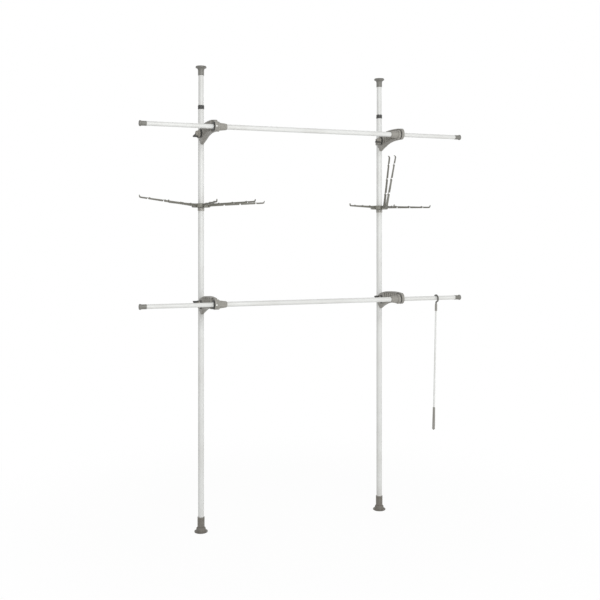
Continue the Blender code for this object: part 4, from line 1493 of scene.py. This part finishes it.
@dataclass
class Carousel:
    """A hub of five folding hooks on its clamping sleeve."""

    shop: Workshop
    side: Side
    facing: float
    tilts: tuple[float, ...]
    spacing: float = 41.0
    middle_slot: int = 2
    hub_radius: float = 0.048
    hub: Point = (-0.013, 0.009)
    hub_shoulder: float = 0.004
    hub_bosses: Point = (0.022, 0.026)
    hub_round: float = 0.0005
    slot_width: float = 0.0066
    slot_start: float = 0.031
    slot_floor: float = -0.0098
    pivot: float = 0.040
    pin: float = 0.002
    sleeve_bottom: float = -0.030
    sleeve_radius: float = 0.0174
    length: float = 0.293
    thickness: float = 0.006
    hook_round: float = 0.0008
    root: float = 0.0074
    top: Point = (0.0062, 0.0020)
    bottom: Point = (-0.0066, 0.0036)
    bend: float = 0.014
    tip_rise: float = 0.0125
    tip_width: float = 0.004
    notches: tuple[float, ...] = (0.080, 0.163, 0.246)
    notch_half: float = 0.004
    notch_bridge: float = 0.0032
    tooth: Point = (0.010, 0.0026)
    beyond: float = 0.1

    def build(self) -> None:
        """Make every piece of the carousel."""
        self.build_sleeve()
        self.build_hub()
        self.build_pins()
        for number in range(len(self.tilts)):
            self.build_hook(number)

    @property
    def place(self) -> Matrix:
        """The middle of the hub, turned as the carousel was left."""
        return shift(PLAN.pole_x(self.side), 0.0, PLAN.carousel_height) @ turn(-self.facing, "Z")

    def slot_turn(self, number: int) -> Matrix:
        """Turn of one slot from the middle one."""
        return turn((number - self.middle_slot) * self.spacing, "Z")

    def build_sleeve(self) -> None:
        """Clamping sleeve under the hub, with two beads at its lower end."""
        word, edge, bottom = self.side.word, PLAN.edge, self.sleeve_bottom
        top, bore = self.hub[0] - PLAN.gap, PLAN.lower_tube + PLAN.gap
        wide = self.sleeve_radius - 0.3 * edge
        profile = [(bore, bottom), (wide - 0.5 * edge, bottom), (wide, bottom + edge)]
        profile += [(wide, top), (bore, top)]
        beads = self.shop.beads(SLEEVE_ABS, self.place @ shift(z=bottom + 3.0 * edge), Count=2,
                                Spacing=2.6 * edge, Radius=wide - 0.2 * edge, Bead=0.6 * edge)
        deliver(f"{word}_grip_sleeve", SLEEVE_ABS, f"{word}_sleeve", f"{word}_carousel_sleeve",
                Shape.turned(profile, 0.6 * edge).moved(self.place).mesh(), beads)

    def build_hub(self) -> None:
        """Slotted hub."""
        word, edge, rim = self.side.word, PLAN.edge, self.hub_radius
        low, high = self.hub
        low_boss, boss = self.hub_bosses
        bore = PLAN.lower_tube + 2.0 * PLAN.gap
        profile = [(bore, low), (low_boss, low), (rim - 3.0 * edge, low + edge)]
        profile += [(rim, low + 4.0 * edge), (rim, self.hub_shoulder)]
        profile += [(rim - 2.0 * edge, self.hub_shoulder + 2.0 * edge), (boss, high)]
        profile += [(boss - 2.0 * edge, high), (boss - 3.0 * edge, high - edge)]
        profile += [(bore + 3.0 * edge, high - edge), (bore + 2.0 * edge, high), (bore, high)]
        half = self.slot_width / 2.0
        near, far = (-half, -self.beyond, self.slot_floor), (half, -self.slot_start, self.beyond)
        slots = [Shape.block(near, far).moved(self.slot_turn(n)) for n in range(len(self.tilts))]
        hub = Shape.turned(profile, edge, sides=96).cut(*slots).softened(self.hub_round, CUT_ANGLE)
        deliver(f"{word}_slotted_hub", PAINTED_LIT_HUB_NYLON, f"{word}_hub", f"{word}_carousel_hub",
                hub.moved(self.place).mesh())

    def build_pins(self) -> None:
        """Steel pins across the slots, on which the hooks turn."""
        first = -90.0 - self.middle_slot * self.spacing
        pins = self.shop.ribs(ZINC_PLATE, self.place, Count=len(self.tilts), Radius=self.pivot,
                              Step=math.radians(self.spacing), Start=math.radians(first),
                              Bar_Radius=self.pin, Bar_Length=self.slot_width + 4.0 * PLAN.edge,
                              Lean=(math.radians(90.0), 0.0, 0.0), Sides=20)
        word = self.side.word
        deliver(f"{word}_hook_pins", ZINC_PLATE, f"{word}_hub", None, pins, slot=Slot.HOOK)

    def edge_top(self, along: float) -> float:
        """Height of a hook's upper edge."""
        return self.top[0] - self.top[1] * along / self.length

    def edge_bottom(self, along: float) -> float:
        """Height of a hook's lower edge."""
        return self.bottom[0] + self.bottom[1] * along / self.length

    def hook_outline(self) -> Profile:
        """Draw a hook's side view: root, notched lower edge, upturned tip, toothed upper edge.

        Returns:
            Its (forward, up) points.
        """
        edge, length, rise = PLAN.edge, self.length, self.tip_rise
        outline = arc((0.0, 0.0), self.root, start=95.0, end=250.0, steps=14)
        for spot in self.notches:
            roof = self.edge_top(spot) - self.notch_bridge
            start, end = spot - self.notch_half, spot + self.notch_half
            outline += [(start, self.edge_bottom(start))]
            outline += arc((start + 2.0 * edge, roof - edge), edge, start=180.0, end=90.0, steps=3)
            outline += arc((end - 2.0 * edge, roof - edge), edge, start=90.0, end=0.0, steps=3)
            outline += [(end, self.edge_bottom(end))]
        bend, inner = length - self.bend, length - self.tip_width
        low, high, tip = self.edge_bottom(bend), self.edge_top(bend), self.edge_top(inner)
        outline += bezier((bend, low), (inner, low), (length - edge, 0.0), (length, rise - edge),
                          count=10)
        outline += [(length - edge, rise), (inner + edge, rise - edge)]
        outline += bezier((inner - edge, tip + 2.0 * edge), (inner - 2.0 * edge, tip + edge),
                          (bend + 2.0 * edge, high), (bend - edge, high), count=7)
        width, crest = self.tooth
        for spot in reversed(self.notches):
            start = spot - self.notch_half - width
            base = self.edge_top(start)
            outline += bezier((start + width, self.edge_top(start + width)),
                              (start + 0.75 * width, base + 1.3 * crest),
                              (start + 0.4 * width, base + 1.2 * crest), (start, base), count=8)
        return outline

    def build_hook(self, number: int) -> None:
        """Make one folding hook about its pin.

        Args:
            number: the hook's place in the row, from nought.
        """
        half = self.thickness / 2.0
        fold = shift(y=-self.pivot) @ turn(-self.tilts[number], "X")
        hole = Shape.bar(self.pin + PLAN.gap, -self.thickness, self.thickness, sides=24).moved(ALONG_X)
        hook = Shape.plate(self.hook_outline(), -half, half, edge_round=self.hook_round, segments=2)
        hook = hook.cut(hole).moved(self.place @ self.slot_turn(number) @ fold)
        stem = f"{self.side.word}_hook_{number + 1}"
        deliver(f"{self.side.word}_folding_hook_{number + 1}", HOOK_NYLON, stem, stem, hook.mesh())


@dataclass
class ReachStick:
    """A reach stick that hangs over the lower rail."""

    shop: Workshop
    along: float = 0.729
    lean: float = 2.3
    hook_turn: float = 2.0
    wire: float = 0.0042
    wire_points: int = 90
    bow: float = 0.019
    bow_angles: Point = (-20.0, 205.0)
    neck: float = -0.0245
    neck_ease: float = 0.005
    swan: Point = (-0.0147, -0.0134)
    ferrule: Point = (-0.029, -0.070)
    ferrule_radius: float = 0.0062
    shoulder: float = 0.006
    rod: float = 0.0046
    rod_bottom: float = -0.606
    socket: float = 0.015
    handle_top: float = -0.594
    handle_radii: Point = (0.0056, 0.0073)
    handle_neck: Point = (0.0062, -0.702)
    handle_beads: int = 9
    bulb: Point = (0.0080, -0.710)
    handle_bottom: float = -0.719

    def build(self) -> None:
        """Make every piece of the stick."""
        self.build_hook()
        self.build_ferrule()
        self.build_rod()
        self.build_handle()

    @property
    def place(self) -> Matrix:
        """Where the stick hangs on the rail's axis, with its lean."""
        return shift(self.along, -PLAN.rail_reach, RailLevel.LOWER.value) @ turn(self.lean, "X")

    def build_hook(self) -> None:
        """The wire hook, swept along its path."""
        middle = (0.0, PLAN.end_tube + PLAN.gap + self.wire - self.bow)
        path = arc(middle, self.bow, *self.bow_angles, steps=40)
        path += bezier(path[-1], (self.swan[0], middle[1] + self.swan[1]),
                       (0.0, self.neck + self.neck_ease), (0.0, self.neck), count=14)[1:]
        path += [(0.0, self.ferrule[0] + PLAN.gap)]
        curve = bpy.data.curves.new("working", "CURVE")
        curve.dimensions = "3D"
        spline = curve.splines.new("POLY")
        spline.points.add(len(path) - 1)
        for point, (y, z) in zip(spline.points, path):
            point.co = (0.0, y, z, 1.0)
        mesh = self.shop.wire.grown(curve, STICK_ABS, self.place @ turn(self.hook_turn, "Z"),
                                    {"Wire": self.wire, "Points": self.wire_points})
        deliver("stick_wire_hook", STICK_ABS, "stick", "stick_hook", mesh)

    def build_ferrule(self) -> None:
        """Tapered ferrule with two beads."""
        edge, bore, radius = PLAN.edge, self.rod + PLAN.gap, self.ferrule_radius
        top, bottom = self.ferrule
        floor = bottom + self.socket
        profile = [(0.0, top), (self.rod, top), (radius, top - self.shoulder)]
        profile += [(radius, bottom), (bore, bottom), (bore, floor), (0.0, floor)]
        beads = self.shop.beads(GREY_ABS, self.place @ shift(z=bottom + 2.5 * edge), Count=2,
                                Spacing=2.6 * edge, Radius=radius - 0.2 * edge, Bead=0.7 * edge)
        deliver("stick_taper_ferrule", GREY_ABS, "stick", "stick_ferrule",
                Shape.turned(profile, edge, sides=48).moved(self.place).mesh(), beads)

    def build_rod(self) -> None:
        """Thin coated rod."""
        top, bottom = self.ferrule[1] + self.socket - PLAN.gap, self.rod_bottom
        profile = [(0.0, bottom), (self.rod, bottom), (self.rod, top), (0.0, top)]
        deliver("stick_thin_rod", TUBE_COAT, "stick", "stick_rod",
                Shape.turned(profile, 0.6 * PLAN.edge, sides=48).moved(self.place).mesh())

    def build_handle(self) -> None:
        """Slim handle with grip beads and a pointed bulb."""
        edge, bore, top = PLAN.edge, self.rod + PLAN.gap, self.handle_top
        slim, full = self.handle_radii
        floor = self.rod_bottom - PLAN.gap
        bulb, height = self.bulb
        neck = self.handle_neck[1]
        profile = [(0.0, floor), (bore, floor), (bore, top), (slim, top)]
        profile += [(slim + 0.5 * edge, top - 2.0 * edge), (full, neck + 4.0 * edge), self.handle_neck]
        profile += [(bulb, height + 2.0 * edge), (bulb - edge, height - 3.0 * edge)]
        profile += [(0.0, self.handle_bottom)]
        beads = self.shop.beads(GREY_ABS, self.place @ shift(z=neck + 8.0 * edge),
                                Count=self.handle_beads, Spacing=4.0 * edge, Radius=full - 0.4 * edge,
                                Bead=0.6 * edge, Shrink=0.006)
        deliver("stick_bulb_handle", GREY_ABS, "stick", "stick_handle",
                Shape.turned(profile, 2.0 * edge, sides=48, steps=5).moved(self.place).mesh(), beads)


@dataclass(frozen=True)
class Softbox:
    """A soft area lamp: its place, the point it faces, its width and height, its watts."""

    name: str
    place: Spot
    aim: Spot
    size: Point
    power: float

    def build(self) -> None:
        """Make the lamp."""
        data = bpy.data.lights.new(self.name, "AREA")
        data.shape = "RECTANGLE"
        data.size, data.size_y = self.size
        data.energy = self.power
        lamp = new_object(self.name, data)
        lamp.location = self.place
        sight = Vector(self.aim) - Vector(self.place)
        lamp.rotation_euler = sight.to_track_quat("-Z", "Y").to_euler()


@dataclass
class Studio:
    """White sweep, soft light and the camera of the photograph."""

    camera_place: Spot = (-1.670, -4.419, 1.5405)
    camera_turn: float = -21.12
    lens: float = 52.84
    sensor: float = 36.0
    shift_up: float = -0.1116
    sky: float = 0.54
    floor_half: float = 6.0
    floor_paint: PaintedFloor = PaintedFloor()
    key: Softbox = Softbox("key_softbox", place=(-0.6, -4.5, 2.7), aim=(0.0, 0.0, 1.4),
                           size=(1.8, 1.8), power=98.0)
    fill: Softbox = Softbox("fill_softbox", place=(3.4, -2.4, 1.4), aim=(0.0, 0.0, 1.2),
                            size=(1.6, 2.0), power=16.0)

    def build(self) -> None:
        """Make the camera, the world, the floor and the lamps."""
        self.build_camera()
        self.build_world()
        self.build_floor()
        self.key.build()
        self.fill.build()
        bpy.context.scene.view_settings.view_transform = "Standard"

    def build_camera(self) -> None:
        """The camera that fits the photograph."""
        data = bpy.data.cameras.new("photo_camera")
        data.sensor_width = self.sensor
        data.lens = self.lens
        data.shift_y = self.shift_up
        camera = new_object("photo_camera", data)
        camera.location = self.camera_place
        camera.rotation_euler = (math.radians(90.0), 0.0, math.radians(self.camera_turn))
        bpy.context.scene.camera = camera

    def build_world(self) -> None:
        """White to the eye, and a softer even light on the object."""
        world = bpy.data.worlds.new("white_studio")
        world.use_nodes = True
        bpy.context.scene.world = world
        tree = world.node_tree
        sky = tree.nodes["Background"]
        feed(tree, sky, {"Color": to_linear(WHITE), "Strength": self.sky})
        white = add_node(tree, "ShaderNodeBackground", {"Color": to_linear(WHITE), "Strength": 1.0})
        mix = add_node(tree, "ShaderNodeMixShader",
                       {0: shown_rays(tree), 1: sky.outputs[0], 2: white[0]})
        feed(tree, tree.nodes["World Output"], {"Surface": mix[0]})

    def build_floor(self) -> None:
        """A pale floor that fades into the white ground and keeps the rack's shadow."""
        half = self.floor_half
        mesh = bpy.data.meshes.new("pale_floor")
        corners = [(-half, -half, 0.0), (half, -half, 0.0), (half, half, 0.0), (-half, half, 0.0)]
        mesh.from_pydata(corners, [], [(0, 1, 2, 3)])
        mesh.materials.append(self.floor_paint.material())
        new_object("pale_floor", mesh)


# How the knobs and carousels were left: degrees of turn, and of tilt for each hook
KNOB_TURNS = {
    (RailLevel.UPPER, Side.LEFT): -85.0,
    (RailLevel.UPPER, Side.RIGHT): -30.0,
    (RailLevel.LOWER, Side.LEFT): 80.0,
    (RailLevel.LOWER, Side.RIGHT): 75.0,
}
CAROUSEL_TURNS = {Side.LEFT: 1.5, Side.RIGHT: -28.3}
HOOK_TILTS = {Side.LEFT: (7.0, 1.0, 1.5, 2.5, 2.5), Side.RIGHT: (0.0, -1.5, -1.5, 79.5, 81.0)}


def main() -> None:
    """Build the studio and every sub-assembly in order."""
    logging.basicConfig(level=logging.INFO, format="%(message)s")
    Studio().build()
    shop = Workshop()
    for side in Side:
        Pole(shop, side).build()
    for level in RailLevel:
        Rail(level).build()
        for side in Side:
            Bracket(shop, level, side, KNOB_TURNS[level, side]).build()
    for side in Side:
        Carousel(shop, side, CAROUSEL_TURNS[side], HOOK_TILTS[side]).build()
    ReachStick(shop).build()


if __name__ == "__main__":
    main()
